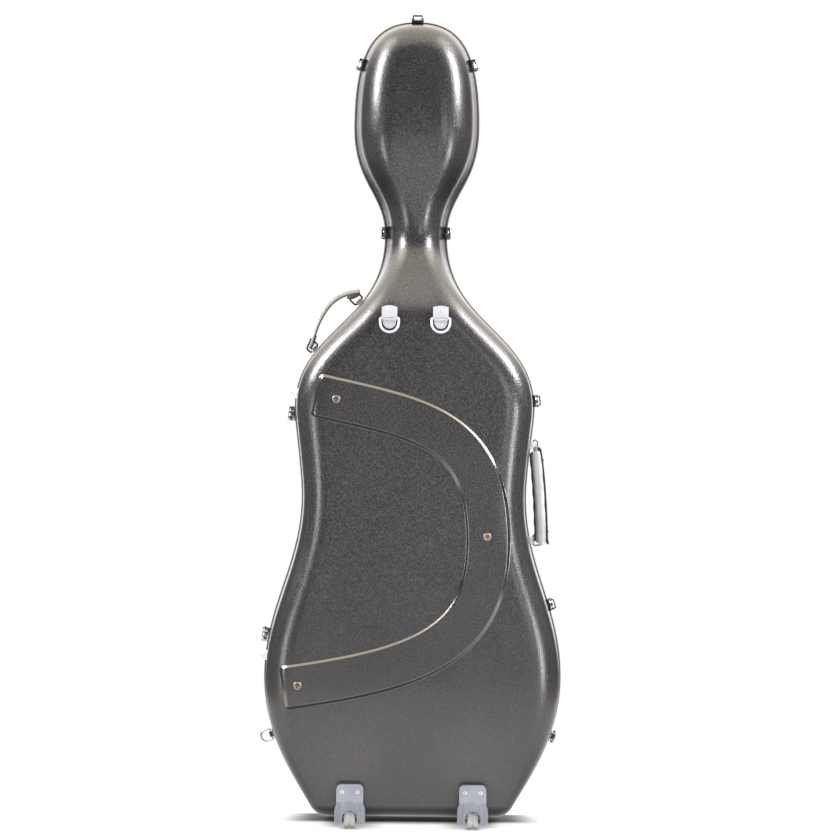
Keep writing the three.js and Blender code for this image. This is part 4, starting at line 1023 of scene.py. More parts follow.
# %% Band rivets
RIVET_PLACES = [(-131.1, 719.6), (123.8, 490.8), (-192.3, 239.3)]
RIVET_RING = [
    (2.9, -1), (7.2, -1), (7.2, 0.25), (6.9, 0.9), (6.2, 1.4), (5.2, 1.6), (4.2, 1.45),
    (3.5, 1.0), (3.2, 0.5), (2.9, 0.2),
]
RIVET_WASHER = [(2.0, -1), (8.3, -1), (8.3, 0.2), (8.0, 0.5), (7.0, 0.55), (2.0, 0.55), (2.0, -1)]
RIVET_CORE = [(0, -1), (3.0, -1), (3.0, 0.6), (2.6, 1.0), (1.6, 1.2), (0.9, 1.0), (0, 0.5)]
RIVET_PARTS = {
    "ring": (RIVET_RING, 40, "eyelet", "nickel"),
    "washer": (RIVET_WASHER, 40, "black", "black_plastic"),
    "core": (RIVET_CORE, 32, "copper", "nickel"),
}
for number, spot in enumerate(RIVET_PLACES, 1):
    seat = standing(*surface_at(band, *spot))
    for part, (profile, steps, finish, slot) in RIVET_PARTS.items():
        name = f"band_rivet_{part}_{number}"
        turned(name, profile, steps, seat, "case_back", finish, angle=45)
print("band rivets", len(RIVET_PLACES))

# %% [markdown]
# ## Latches
# Each latch is a lever on a base, with a wire bail that hooks a keeper on the lid's rim. The base
# is a folded plate with two cheeks that hold the pivot. The lever is black, and a nickel band is
# wrapped round its middle. The four latches on the head and the neck stand a little further back
# and are tilted by ten degrees, because the shell's wall slopes there. Folded and pressed parts are
# outlines seen from the side, extruded across.

# %% Latch parts
LATCH_HALF = 10.2
CHEEK = 1.3
LATCHES = {
    "top": False, "head_left": True, "head_right": True, "neck_left": True, "neck_right": True,
    "upper_right": False, "lower_right": False,
}
TILT = math.radians(10)
STRIPE_OUTLINE = [
    (-8.55, -1.5), (-8.15, -1.5), (-8.15, 4.2), (-7.6, 5.0), (7.6, 5.0), (8.15, 4.2),
    (8.15, -1.5), (8.55, -1.5), (8.55, 4.6), (7.7, 5.55), (-7.7, 5.55), (-8.55, 4.6),
]
KEEPER_OUTLINE = [(-4, 2), (2, 2), (7, 6.5), (7, 10.3), (-4, 10.3)]


def side_on(piece, x):
    """Turns an outline of X and Y into a frame's Y and Z, extruded from x along its X."""
    turn = Matrix(((0, 0, 1, x * MM), (1, 0, 0, 0), (0, 1, 0, 0), (0, 0, 0, 1)))
    return settle(piece, turn)


def cheek(name, x, tip):
    """One cheek of the base, which holds an end of the pivot."""
    outline = [(-4, -5.8), (2.6, -2.6), (2.6, 2.6), (-4, tip)]
    return side_on(extruded(name, millimetres(outline), CHEEK * MM, 0.3 * MM, 1), x)


def latch_base(name, sloping):
    tip = 13 if sloping else 1
    low, high = Vector((-LATCH_HALF, -7.6, -18)), Vector((LATCH_HALF, -3, tip))
    plate = block(name + "_plate", low * MM, high * MM, 0.5 * MM)
    right, left = LATCH_HALF - CHEEK, -LATCH_HALF
    return joined(name, plate, cheek(name + "_a", right, tip), cheek(name + "_b", left, tip))


def latch_stripe(name):
    made = extruded(name, millimetres(STRIPE_OUTLINE), 8 * MM, 0.12 * MM, 1)
    return settle(made, Matrix.Translation((0, 0, -19 * MM)))


def latch_keeper(name):
    return side_on(extruded(name, millimetres(KEEPER_OUTLINE), 8 * MM, 0.6 * MM, 2), -4)


print("latches to make", len(LATCHES))

# %% Latches in their places
for name, sloping in LATCHES.items():
    latch = f"latch_{name}"
    lever_frame = joint_frame(f"{latch}_lever_pivot", TILT if sloping else 0.0)
    sink, back = (1.8, 12) if sloping else (0, 0)
    rim_frame = moved_frame(joint_frame(f"{latch}_lever_pivot"), 0, sink - 5, 4 + back)
    bail_frame = moved_frame(lever_frame, 0, 0.8, -6)
    base = settle(latch_base(f"{latch}_base", sloping), lever_frame)
    dressed(base, "case_back", "black")
    keeper = settle(latch_keeper(f"{latch}_keeper"), rim_frame)
    dressed(keeper, "lid", "nickel")
    lever = f"{latch}_lever"
    softened_node(lever, "body", lever, "black", 0.45, sharp=30)
    stripe = settle(latch_stripe(f"{lever}_band"), lever_frame)
    dressed(stripe, lever, "nickel", angle=25)
    for side, x in (("a", -10.1), ("b", 10.1)):
        outwards = Matrix.Rotation(math.copysign(math.pi / 2, x), 4, "Y")
        spot = moved_frame(lever_frame, x, 0, 0) @ outwards
        rivet(f"{latch}_pivot_{side}", 1.9, 0.7, 20, spot, lever, "nickel")
    hook = bail_frame.inverted() @ rim_frame @ Vector((0, 4 * MM, 12 * MM)) / MM
    path = filleted([
        (-8.2, 0, 0), (-5.5, 0, 0), (-5.5, hook.y, hook.z), (5.5, hook.y, hook.z), (5.5, 0, 0),
        (8.2, 0, 0),
    ], 1.8)
    bail = f"{latch}_bail"
    wired(f"{bail}_wire", path, 1.0, bail_frame, bail, "nickel", [bail], closed=False)
print("latches", len(LATCHES))

# %% [markdown]
# ## Hinges
# Two nickel hinges turn on one straight line outside the rim. A leaf is a plate with rolled
# knuckles: the back leaf has the outer two, the lid leaf the middle one. The pin runs through all
# three and ends in a round head. The leaves keep the exact form of their CAD solids, because their
# knuckles have to line up.

# %% Hinge leaves and pins
PIN_PROFILE = [
    (0, -12.2), (1.4, -12.2), (1.8, -11.8), (1.8, 12.3), (3.0, 12.3), (3.2, 12.6),
    (3.1, 13.1), (2.4, 13.5), (0, 13.6),
]
lower_hinge = joint_frame("lid_hinge")
upper_hinge = lower_hinge.copy()
low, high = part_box("hinge_upper_pin")
upper_hinge.translation = (low + high) / 2 - lower_hinge.col[0].xyz * 0.8 * MM

for name, place in (("lower", lower_hinge), ("upper", upper_hinge)):
    for leaf, body in (("back_leaf", "case_back"), ("lid_leaf", "lid")):
        node = f"hinge_{name}_{leaf}"
        softened_node(node, "plate", body, "nickel", 0.35, sharp=25, angle=40)
    pin = f"hinge_{name}_pin"
    seat = place @ Matrix.Rotation(math.pi / 2, 4, "Y")
    turned(f"{pin}_turned", PIN_PROFILE, 32, seat, "case_back", "nickel", [pin])
print("hinge pins", len(PIN_PROFILE), "points in the profile")

# %% [markdown]
# ## Wheels, housings and feet
# Each lower corner holds a wheel in a moulded housing, one block with a rounded top and a wheel
# well. Two white rivets hold it. The wheel is cast polyurethane with a groove round its middle and
# a nickel axle. In front stand two rubber feet. Wheels, axles and feet are turned profiles.

# %% Wheels and axles
SIDES = (("left", -1), ("right", 1))
HALF_AXLE = 24.5
AXLE_PROFILE = [
    (0, -HALF_AXLE), (2.1, -HALF_AXLE), (2.5, 0.4 - HALF_AXLE), (2.5, HALF_AXLE - 0.4),
    (2.1, HALF_AXLE), (0, HALF_AXLE),
]
wheel_profile = [
    (2.9, -9.7), (7.0, -9.7), (7.4, -9.2), (13.6, -9.2), (14.0, -9.7), (18.0, -9.7),
    (18.9, -9.4), (19.6, -8.7), (20.0, -7.7), (20.0, -2.6), (19.8, -2.1), (18.8, -1.0), (18.6, 0.0),
]
wheel_profile += [(radius, -height) for radius, height in reversed(wheel_profile[:-1])]
wheel_profile.append(wheel_profile[0])

for side, _ in SIDES:
    wheel, axle = f"wheel_{side}", f"wheel_axle_{side}"
    seat = frame_at(joints[f"{wheel}_spin"]["pos_m"], (0, 0, 1), (0, 1, 0))
    facing = seat @ Matrix.Rotation(math.pi, 4, "Z")
    turned(f"{wheel}_tyre", wheel_profile, 64, facing, wheel, "wheel", [wheel], 40)
    turned(f"{axle}_turned", AXLE_PROFILE, 28, seat, "case_back", "nickel", [axle])
print("wheels", len(wheel_profile), "points in the profile")

# %% Housings and feet
HOUSING_X = 103
RIVET_HEIGHT = 61.5
RIVET_SIDE = 13
CORE_SUNK = 1.35
FOOT_PLACE = (106, 27)
FOOT_PROFILE = [
    (0, 0), (11.5, 0), (12, 0.4), (12.4, 0.9), (14.2, 0.9), (14.7, 1.3), (15, 2.2), (15, 9),
    (14.6, 9.6), (14.6, 10.6), (15, 11.2), (15, 20), (0, 20),
]
housings = {}
for side, sign in SIDES:
    node = f"wheel_housing_{side}"
    made = softened_node(node, "moulding", "case_back", "housing", 1.1, 3, angle=32)
    housings[side] = made
    for number, x in enumerate((-RIVET_SIDE, RIVET_SIDE), 1):
        place, normal = surface_at(made, sign * HOUSING_X + x, RIVET_HEIGHT)
        head, core = f"housing_{side}_rivet_{number}", f"housing_{side}_rivet_core_{number}"
        rivet(head, 3.6, 1.5, 32, standing(place, normal), "case_back", "pale")
        sunk = standing(place + normal * CORE_SUNK * MM, normal)
        rivet(core, 1.5, 0.5, 20, sunk, "case_back", "steel")
    foot = f"front_foot_{side}"
    spot = Matrix.Translation((sign * FOOT_PLACE[0] * MM, FOOT_PLACE[1] * MM, 0))
    turned(f"{foot}_pad", FOOT_PROFILE, 48, spot, "case_back", "rubber", [foot], 40)
print("housings and feet", len(housings))

# %% [markdown]
# ## Lofts
# The fenders, the handles and the straps are lofts: one section repeated along a line, with a skin
# through its rings. Most sections are rounded rectangles, which a superellipse gives. `along_path`
# sets a section square to a path that lies in the X and Y plane of a fitting's frame.

# %% Lofts and sections
UP = Vector((0, 0, 1))


def lofted(name, rings, closed=False):
    """A skin through rings of points in mm, with its ends closed by flat caps."""
    points = [point * MM for ring in rings for point in ring]
    return tube(name, points, len(rings[0]), closed)


def oval(half_a, half_b, power=4.0, count=36):
    """A rounded rectangle as a superellipse, in pairs."""
    made = []
    for k in range(count):
        angle = 2 * math.pi * k / count
        c, s = math.cos(angle), math.sin(angle)
        size = (abs(c) ** power + abs(s) ** power) ** (-1 / power)
        made.append((half_a * c * size, half_b * s * size))
    return made


def along_path(path, section_at):
    """Rings of a section (thickness, depth) along a path in a fitting's X and Y plane."""
    rings = []
    for i, point in enumerate(path):
        before, after = path[max(i - 1, 0)], path[min(i + 1, len(path) - 1)]
        way = (after - before).normalized()
        side = Vector((-way.y, way.x, 0))
        rings.append([point + side * a + UP * b for a, b in section_at(i / (len(path) - 1))])
    return rings


print("loft helpers ready")

# %% [markdown]
# ## The fenders
# Over each wheel the housing carries a low raised arch, flattened on top and eased down at both
# edges. Its section is stepped along a half circle round the axle and down both legs. At every step
# a ray finds the housing's sloping face, and the arch is laid on it, with its underside sunk in.

# %% Fender reliefs
AXLE_HEIGHT = 19.5
ARCH_REACH = 14.4
ARCH_RISE = 21.0
ARCH_SPREAD = 3.0
LEG_STEP = 25
SUNK = 1.2
RELIEF = [
    (0, -0.5), (0.05, 0.3), (0.14, 0.7), (0.3, 0.85), (0.6, 0.8), (0.82, 0.55), (0.94, 0.15),
    (1, -0.4),
]
arch = np.linspace(0, math.pi, 37)
turns = np.concatenate([[-0.3, -0.15], arch, [math.pi + 0.15, math.pi + 0.3]])
for side, sign in SIDES:
    rings = []
    for turn in turns:
        leg = max(-turn, turn - math.pi, 0) * LEG_STEP
        bent = min(max(turn, 0), math.pi)
        upper, lower = [], []
        for share, rise in RELIEF:
            x = (ARCH_REACH + ARCH_SPREAD * share) * math.cos(bent)
            z = AXLE_HEIGHT - leg + (ARCH_REACH + ARCH_RISE * share) * math.sin(bent)
            place, normal = surface_at(housings[side], sign * HOUSING_X + x, z)
            upper.append(place / MM + normal * rise)
            lower.append(place / MM - normal * SUNK)
        rings.append(upper + lower[::-1])
    relief = lofted(f"wheel_housing_{side}_fender", rings)
    dressed(relief, "case_back", "housing", angle=45)
print("fender reliefs", len(turns), "rings each")

# %% [markdown]
# ## Harness rings
# Two white plates on the sloping upper back carry a D-ring each, and a bracket at each lower side
# carries a smaller ring, so that a harness can be buckled on. The plates keep the exact form of
# their CAD solids, with rounded edges and two rivets each. Each ring is bent wire: two straight
# sides and a half circle, closed by a bar with rounded corners that lies in the plate or bracket.

# %% Plates and D-rings
PLATE_SLOPE = math.radians(11)
PLATE_FACE = -1.05
RING_BEND = 2.6


def ring_path(half, reach, way, steps=22):
    """The middle line of a ring that is 2 * half wide and reaches out from its bar along way."""
    right, far = Vector((1, 0, 0)), Vector(way)
    made = []
    for t in np.linspace(0, math.pi, steps):
        made.append(right * half * math.cos(t) + far * (reach - half + half * math.sin(t)))
    for side in (-1, 1):
        for angle in np.linspace(0, math.pi / 2, 5)[::-side]:
            across = half - RING_BEND + RING_BEND * math.cos(angle)
            out = RING_BEND - RING_BEND * math.sin(angle)
            made.append(right * side * across + far * out)
    return [point * MM for point in made]


for side, _ in SIDES:
    plate, ring = f"back_ring_plate_{side}", f"back_d_ring_{side}"
    softened_node(plate, "moulding", "case_back", "pale", 0.6, 3)
    upwards = (0, math.sin(PLATE_SLOPE), math.cos(PLATE_SLOPE))
    seat = frame_at(joints[f"{ring}_swing"]["pos_m"], (1, 0, 0), upwards)
    path = ring_path(15.5, 24, (0, -1, 0))
    wired(f"{ring}_wire", path, 2.0, seat, ring, "ring", [ring])
    for number, y in enumerate((13.5, -9.6), 1):
        head, core = f"back_ring_rivet_{side}_{number}", f"back_ring_rivet_core_{side}_{number}"
        spot = moved_frame(seat, 0, y, PLATE_FACE)
        rivet(head, 3.1, 1.1, 32, spot, "case_back", "ring")
        sunk = moved_frame(spot, 0, 0, 0.95)
        rivet(core, 0.9, 0.3, 20, sunk, "case_back", "black")
print("back rings", len(path), "points in the path")

# %% Side rings and brackets
for side, hang in (("left", 0.0), ("right", -80.0)):
    bracket, ring = f"side_ring_bracket_{side}", f"side_ring_{side}"
    softened_node(bracket, "pressing", "case_back", "black")
    seat = joint_frame(f"{ring}_swing")
    hanging = seat @ Matrix.Rotation(math.radians(hang), 4, "X")
    path = ring_path(9.5, 18, (0, 1, 0), 18)
    wired(f"{ring}_wire", path, 1.5, hanging, ring, "nickel", [ring])
    for number, z in enumerate((-7.4, 7.4), 1):
        spot = moved_frame(seat, 0, -3.5, z) @ Matrix.Rotation(-math.pi / 2, 4, "X")
        head = f"side_ring_rivet_{side}_{number}"
        rivet(head, 2.2, 0.8, 24, spot, "case_back", "nickel")
print("side rings", len(path), "points in the path")

# %% [markdown]
# ## Side bumpers
# Two translucent white cones stand out from the hinge side, so the case can be laid down on it.
# A bumper is a turned cone with a small step at its foot and a screw sunk into its tip. It stands
# on the place of the rim line that is nearest to its height.

# %% Bumpers
BUMPER_HEIGHTS = {"lower": 0.2034, "upper": 0.5306}
BUMPER_PROFILE = [
    (0, -8), (8.6, -8), (8.6, -2.6), (8.4, -2.2), (8.1, 0), (6.9, 9.0), (6.5, 10.0),
    (5.8, 10.4), (3.4, 10.4), (3.0, 10.0), (2.9, 7.5), (0, 7.5),
]
for name, share in BUMPER_HEIGHTS.items():
    node = f"side_bumper_{name}"
    x, z, ax, az = min(left_half, key=lambda place: abs(place[1] - TOP[1] * share))
    seat = standing(Vector((x, -8, z)) * MM, (az, 0, -ax))
    turned(
        f"{node}_turned", BUMPER_PROFILE, 48, seat, "case_back", "bumper", [node], 40)
    tip = moved_frame(seat, 0, 0, 7.4)
    rivet(f"{node}_screw", 2.6, 0.9, 28, tip, "case_back", "steel")
print("bumpers", len(BUMPER_HEIGHTS))

# %% [markdown]
# ## Parts of a handle
# Both handles are built from the same kinds of piece: lofted leather and straps, bent wire loops,
# and thread. A handle is one body, and all of its pieces lie in the frame of the joint that it
# swings on. A stitch is a tiny loft of six sides with pointed ends that dips into the leather.

# %% Leather, loops and stitches
HANDLES = ("side_handle", "shoulder_handle")
SEATS = {handle: joint_frame(f"{handle}_swing") for handle in HANDLES}


def handle_part(name, handle, path, section_at, finish, bevel=None, replaces=(), angle=50):
    """A lofted part of a handle. bevel is a width in mm and a number of segments."""
    made = lofted(name, along_path(path, section_at))
    if bevel:
        rounded(made, bevel[0] * MM, bevel[1], 50)
    settle(made, SEATS[handle])
    return dressed(made, handle, finish, replaces, angle=angle)


def loop_wire(name, handle, x, reach, finish):
    corners = [(x - 9, 0, 0), (x + 9, 0, 0), (x + 9, reach, 0), (x - 9, reach, 0)]
    wired(name, filleted(corners, 3.5, closed=True), 1.5, SEATS[handle], handle, finish)


def stitches(name, handle, spots, length=2.6, radius=0.35):
    """A row of thread stitches: each spot is a place and the way of the seam there."""
    rows = []
    for place, way in spots:
        way = way.normalized()
        side = Vector((-way.y, way.x, 0))
        out = Vector((0, 0, math.copysign(radius, place.z)))
        ends = [
            place - way * length / 2, place - way * length / 3 + out,
            place + way * length / 3 + out, place + way * length / 2,
        ]
        rows.append([[
            point + side * radius * size * math.cos(a) + UP * radius * size * math.sin(a)
            for a in np.linspace(0, 2 * math.pi, 7)[:-1]
        ] for point, size in zip(ends, (0.5, 1.0, 1.0, 0.5))])
    row = joined(name, *[lofted(f"{name}_{i}", rings) for i, rings in enumerate(rows)])
    settle(row, SEATS[handle])
    return dressed(row, handle, "thread")


print("handles", HANDLES)

# %% [markdown]
# ## The side handle
# The side handle is a padded leather sleeve with a dark strap sewn along its outer face. Two wire
# loops hang it in two brackets at the waist. The sleeve is a loft: one rounded section repeated
# along a slightly bowed line, pinched at both ends and creased twice, as the leather has taken the
# shape of a hand. The strap is thinner, longer and curls at its ends, and two studs hold it.

# %% Side handle sleeve
GRIP_LENGTH = 157
GRIP_STEPS = 44
sleeve_line = [
    Vector((-5 + GRIP_LENGTH * t, 13.5 - 9.0 * t - 1.8 * t ** 3 + 4.8 * t * (1 - t), 0))
    for t in np.linspace(0, 1, GRIP_STEPS + 1)
]


def sleeve_section(t):
    ends = 1 - 0.16 * (math.exp(-t * 22) + math.exp(-(1 - t) * 22))
    crease = 0.45 * math.exp(-((t - 0.68) / 0.02) ** 2) + 0.35 * math.exp(-((t - 0.4) / 0.03) ** 2)
    ripple = 0.25 * math.sin(t * 41) + 0.2 * math.sin(t * 23 + 1)
    return oval((9 - crease + 0.4 * ripple) * ends, (14 + 0.5 * ripple) * ends, 3.2)


sleeve = handle_part(
    "side_handle_sleeve", "side_handle", sleeve_line, sleeve_section, "grip", (2.2, 3),
    ["side_handle"], 60)
print("sleeve", len(sleeve.data.polygons), "faces")

# %% Side handle strap and seam
strap_line = [Vector((-6.5, 24.2, 0)), Vector((-5.5, 24.9, 0)), Vector((-3, 24.6, 0))]
for point in sleeve_line[2:-2]:
    strap_line.append(point + Vector((0, 10.1 - 1.2 * (point.x / 152) ** 3, 0)))
strap_line += [Vector((154, 11.0, 0)), Vector((156.5, 9.4, 0)), Vector((157.6, 6.8, 0))]
inner_line = [point - Vector((0, 9.0, 0)) for point in sleeve_line[1:-1]]


def strap_section(t):
    return oval(2.3, 8.5, 6.0, 28)


def seam_section(t):
    return oval(2.0 + 0.4 * math.sin(t * 37), 5.5, 4.0, 20)


handle_part("side_handle_outer_strap", "side_handle", strap_line, strap_section, "edge", (0.6, 2))
handle_part("side_handle_inner_seam", "side_handle", inner_line, seam_section, "edge")
print("strap", len(strap_line), "rings, inner seam", len(inner_line))

# %% Side handle stitches and studs
spots = []
for z in (-11.8, 11.8):
    for k in range(30):
        t = (k + 0.7) / 31
        near = round(t * GRIP_STEPS)
        shift = Vector((GRIP_LENGTH * (t - near / GRIP_STEPS), 6.9, z))
        spots.append((sleeve_line[near] + shift, Vector((1, -0.057, 0))))
stitches("side_handle_stitches", "side_handle", spots)
for number, (x, y) in enumerate(((15, 25.3), (137, 16.0)), 1):
    outwards = Matrix.Rotation(-math.pi / 2, 4, "X")
    spot = moved_frame(SEATS["side_handle"], x, y, 0) @ outwards
    rivet(f"side_handle_stud_{number}", 2.7, 1.4, 28, spot, "side_handle", "eyelet")
print("side handle", len(spots), "stitches")

# %% Side handle loops and tabs
lower_tab = [Vector((x, 13.4, 0)) for x in (-8.6, -6, -2, 2, 6)]
upper_tab = [Vector((x, 5.6 + (x - 150) * 0.03, 0)) for x in (148, 152, 156, 160)]


def tab_section(t):
    return oval(2.9, 6.6, 5.0, 28)


for end, x, reach, path in (("lower", 0, 13.5, lower_tab), ("upper", 162, 6, upper_tab)):
    loop_wire(f"side_handle_loop_{end}", "side_handle", x, reach, "nickel")
    handle_part(f"side_handle_tab_{end}", "side_handle", path, tab_section, "grip", (0.8, 2))
print("side handle loops and tabs made")

# %% [markdown]
# ## The shoulder handle
# The handle on the shoulder is a pale leather bow with a dark lining on its inner side. Its upper
# end is folded under into a thick dark roll around the wire loop, and its lower end is held between
# two dark flaps. Its line is a curve that was read in the photo, so `seated` turns places in the
# world's X and Z into places in the handle's own frame.

# %% Shoulder handle bow
BOW_POINTS = [(-94, 906), (-150, 906), (-163.2, 863), (-177, 817)]
BOW_STEPS = 45
to_seat = SEATS["shoulder_handle"].inverted()


def seated(x, z):
    """A place in the world's X and Z, in the shoulder handle's own frame."""
    place = to_seat @ (Vector((x, 5, z)) * MM) / MM
    return Vector((place.x, place.y, 0))


def bow_half(t):
    """Half the bow's thickness: fullest in its upper half, thin at its lower end."""
    return 3.3 + 1.3 * math.sin(math.pi * min(t * 1.25 + 0.1, 1)) ** 0.8 - 0.9 * t


def bow_section(t):
    return oval(bow_half(t), 12.8 - 1.5 * math.sin(math.pi * t), 5.0)


bow_line = [seated(*bezier(BOW_POINTS, t)) for t in np.linspace(0.01, 1, BOW_STEPS + 1)]
bow = handle_part(
    "shoulder_handle_bow", "shoulder_handle", bow_line, bow_section, "bow", (0.9, 2),
    ["shoulder_handle"])
print("bow", len(bow.data.polygons), "faces")

# %% Shoulder handle lining and fold


def square_to(way, sign):
    """The direction square to way in the handle's plane whose Y has the given sign."""
    side = Vector((-way.y, way.x, 0))
    return side if side.y * sign > 0 else -side


def lining_section(t):
    return oval(0.9, 11.8, 6.0, 28)


lining_line = []
for i, point in enumerate(bow_line[:-1]):
    inwards = square_to((bow_line[i + 1] - point).normalized(), -1)
    lining_line.append(point + inwards * (bow_half(i / BOW_STEPS) - 0.1))
handle_part("shoulder_handle_lining", "shoulder_handle", lining_line, lining_section, "hem")

fold_outline = millimetres(oval(12, 5.2, 2.2, 40))
fold = extruded("shoulder_handle_fold", fold_outline, 24 * MM, 1.6 * MM, 3)
stand = Matrix(((1, 0, 0, -106 * MM), (0, 0, -1, 17 * MM), (0, 1, 0, 899 * MM), (0, 0, 0, 1)))
settle(fold, stand @ Matrix.Rotation(math.radians(22), 4, "Z"))
dressed(fold, "shoulder_handle", "hem", angle=50)
print("lining", len(lining_line), "rings")

# %% Shoulder handle lower end
FLAPS = {"inner": (3.4, 0), "outer": (-3.4, 1)}
end_line = [seated(*bezier(BOW_POINTS, t)) for t in (0.9, 0.95, 1.0)]
end_line += [seated(-179.2, 812.5), seated(-181.5, 808)]


def flap_section(t):
    return oval(1.3, 12.9, 7.0, 32)


def end_section(t):
    return oval(2.4, 12.6, 7.0, 32)


last = len(end_line) - 1
for name, (shift, start) in FLAPS.items():
    path = []
    for i in range(start, last + 1):
        onward = end_line[min(i + 1, last)] - end_line[min(i, last - 1)]
        path.append(end_line[i] + square_to(onward, -1).normalized() * shift)
    flap = f"shoulder_handle_end_{name}"
    handle_part(flap, "shoulder_handle", path, flap_section, "edge", (0.5, 2))
handle_part("shoulder_handle_end", "shoulder_handle", end_line[1:], end_section, "bow", (0.5, 2))
print("lower end", len(end_line), "rings")

# %% Shoulder handle loops, stitches and brackets
UPPER_LOOP, LOWER_LOOP = Vector((-96, 0, 888.5)), Vector((-171.7, 0, 806.7))
BRACKETS = (
    "side_handle_bracket_lower", "side_handle_bracket_upper",
    "shoulder_handle_bracket_upper", "shoulder_handle_bracket_lower",
)
span = (LOWER_LOOP - UPPER_LOOP).length
loop_wire("shoulder_handle_loop_upper", "shoulder_handle", 0, 14, "bronze")
loop_wire("shoulder_handle_loop_lower", "shoulder_handle", span, 11, "bronze")

spots = []
for z in (-9.6, 9.6):
    for k in range(26):
        t = 0.1 + 0.72 * k / 25
        a, b = seated(*bezier(BOW_POINTS, t)), seated(*bezier(BOW_POINTS, t + 0.01))
        way = (b - a).normalized()
        outwards = square_to(way, 1) * (bow_half(t) - 0.15)
        spots.append((a + outwards + Vector((0, 0, z)), way))
stitches("shoulder_handle_stitches", "shoulder_handle", spots, 2.4, 0.24)
for node in BRACKETS:
    softened_node(node, "pressing", "case_back", "bracket")
print("shoulder handle", len(spots), "stitches, brackets", len(BRACKETS))

# %% [markdown]
# ## The lining
# Both shells are lined with plush on foam. The liner is the shell's own skin again, set in by the
# wall and given the thickness of the foam. A rolled piping closes its edge at the seam, as it
# does on the real case, where the plush is turned over and glued behind the rim.

# %% Liners and piping
LINER_GROW = -3.4
FOAM = 8
ROLL = 3.0


def piping(name, half):
    rings = []
    for place in RIM:
        inset, y = section(half, place, LINER_GROW)[0]
        rings.append([
            ring_point(
                place, inset + 4.6 + ROLL * math.cos(a), y + half * (0.4 + ROLL * math.sin(a))) / MM
            for a in np.linspace(0, 2 * math.pi, 11)[:-1]
        ])
    return lofted(name, rings, closed=True)


for name, half, body in (("back", -1, "case_back"), ("lid", 1, "lid")):
    liner = walled(skin(f"{name}_liner_plush", half, LINER_GROW), FOAM)
    dressed(liner, body, "lining", [f"{name}_liner"], angle=60)
    roll = piping(f"{name}_liner_piping", half)
    dressed(roll, body, "pad", angle=60)
    print(liner.name, len(liner.data.polygons), "faces, piping", len(roll.data.polygons))

# %% [markdown]
# ## Pads inside
# The cello rests on pads: a cradle under its neck, a pad behind its upper back and a pad for the
# end pin. A pouch holds rosin and strings, and a padded pocket in the lid takes the bow tips. Each
# starts from its CAD solid, is shrunk a little and remeshed, filled by a short cloth simulation
# with pressure, capped so that it stays in its place, and then gets its sewn seam.

# %% Filling by cloth
MOST_MOVED = 2.6


def points_of(mesh):
    made = np.empty(len(mesh.vertices) * 3)
    mesh.vertices.foreach_get("co", made)
    return made.reshape(-1, 3)


def filled(piece, cap, pressure=4.0, frames=20):
    """Swells a closed piece by cloth with pressure. No point moves further than cap."""
    scene = bpy.context.scene
    cloth = piece.modifiers.new("cloth", "CLOTH")
    cloth.settings.use_pressure = True
    cloth.settings.uniform_pressure_force = pressure
    cloth.settings.effector_weights.gravity = 0
    cloth.point_cache.frame_end = frames
    start = points_of(piece.data)
    for number in range(1, frames + 1):
        scene.frame_set(number)
    swollen = piece.evaluated_get(bpy.context.evaluated_depsgraph_get())
    move = points_of(swollen.to_mesh()) - start
    swollen.to_mesh_clear()
    piece.modifiers.remove(cloth)
    scene.frame_set(1)
    far = np.linalg.norm(move, axis=1)[:, None]
    move *= np.minimum(1, cap / np.maximum(far, 1e-9))
    piece.data.vertices.foreach_set("co", (start + move).ravel())
    piece.data.update()
    return float(far.max())


def creased(piece, axis, height, width=3.5, depth=1.3):
    """Pulls the surface in along a sewn seam, a plane at a height in mm on one axis."""
    for vertex in piece.data.vertices:
        near = abs(vertex.co[axis] / MM - height)
        if near < width:
            share = 0.5 + 0.5 * math.cos(math.pi * near / width)
            vertex.co -= vertex.normal * depth * MM * share


print("pads are filled by at most", MOST_MOVED, "mm")

# %% Filled pads
PADS = {
    "neck_cradle": ("case_back", 4.0, 0.7, (1, 5.0)),
    "upper_pad": ("case_back", 4.5, 0.7, (1, -112.0)),
    "endpin_pad": ("case_back", 4.0, 0.75, (2, 36.0)),
    "accessory_pouch": ("case_back", 5.0, 0.5, (1, -50.0)),
    "bow_tip_pocket": ("lid", 4.0, 0.6, (2, 296.0)),
}
for node, (body, voxel, fill, seam) in PADS.items():
    made = plain_copy(node, node + "_plush")
    for vertex in made.data.vertices:
        vertex.co -= vertex.normal * 1.0 * MM
    with_modifier(made, "REMESH", mode="VOXEL", voxel_size=voxel * MM)
    with_modifier(made, "SMOOTH", factor=0.5, iterations=3)
    moved_by = filled(made, MOST_MOVED * MM)
    creased(made, *seam)
    with_modifier(made, "SUBSURF", levels=1, render_levels=1)
    dressed(made, body, "pad", [node], angle=180)
    print(made.name, len(made.data.polygons), "faces, moved", round(moved_by / MM, 1), "mm")

# %% [markdown]
# ## The neck strap
# A webbing strap closes over the cello's neck. It is a flat band with rounded edges that arches a
# little at its middle. A hook patch covers one half of it, and two rows of stitches cross each end.

# %% Neck strap
strap_low, strap_high = (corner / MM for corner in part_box("neck_strap"))
middle = (strap_low + strap_high) / 2
end_x = strap_high.x
STRAP_ARCH = 1.3


def strap_rings(places, thick, wide, rise):
    """Rings of a flat section that follow the strap's arch, rise above its middle line."""
    rings = []
    for x in places:
        lift = STRAP_ARCH * math.cos(math.pi * x / (end_x - strap_low.x)) ** 2
        y = middle.y + rise + lift
        rings.append([Vector((x, y + a, middle.z + b)) for a, b in oval(thick, wide, 7.0, 28)])
    return rings


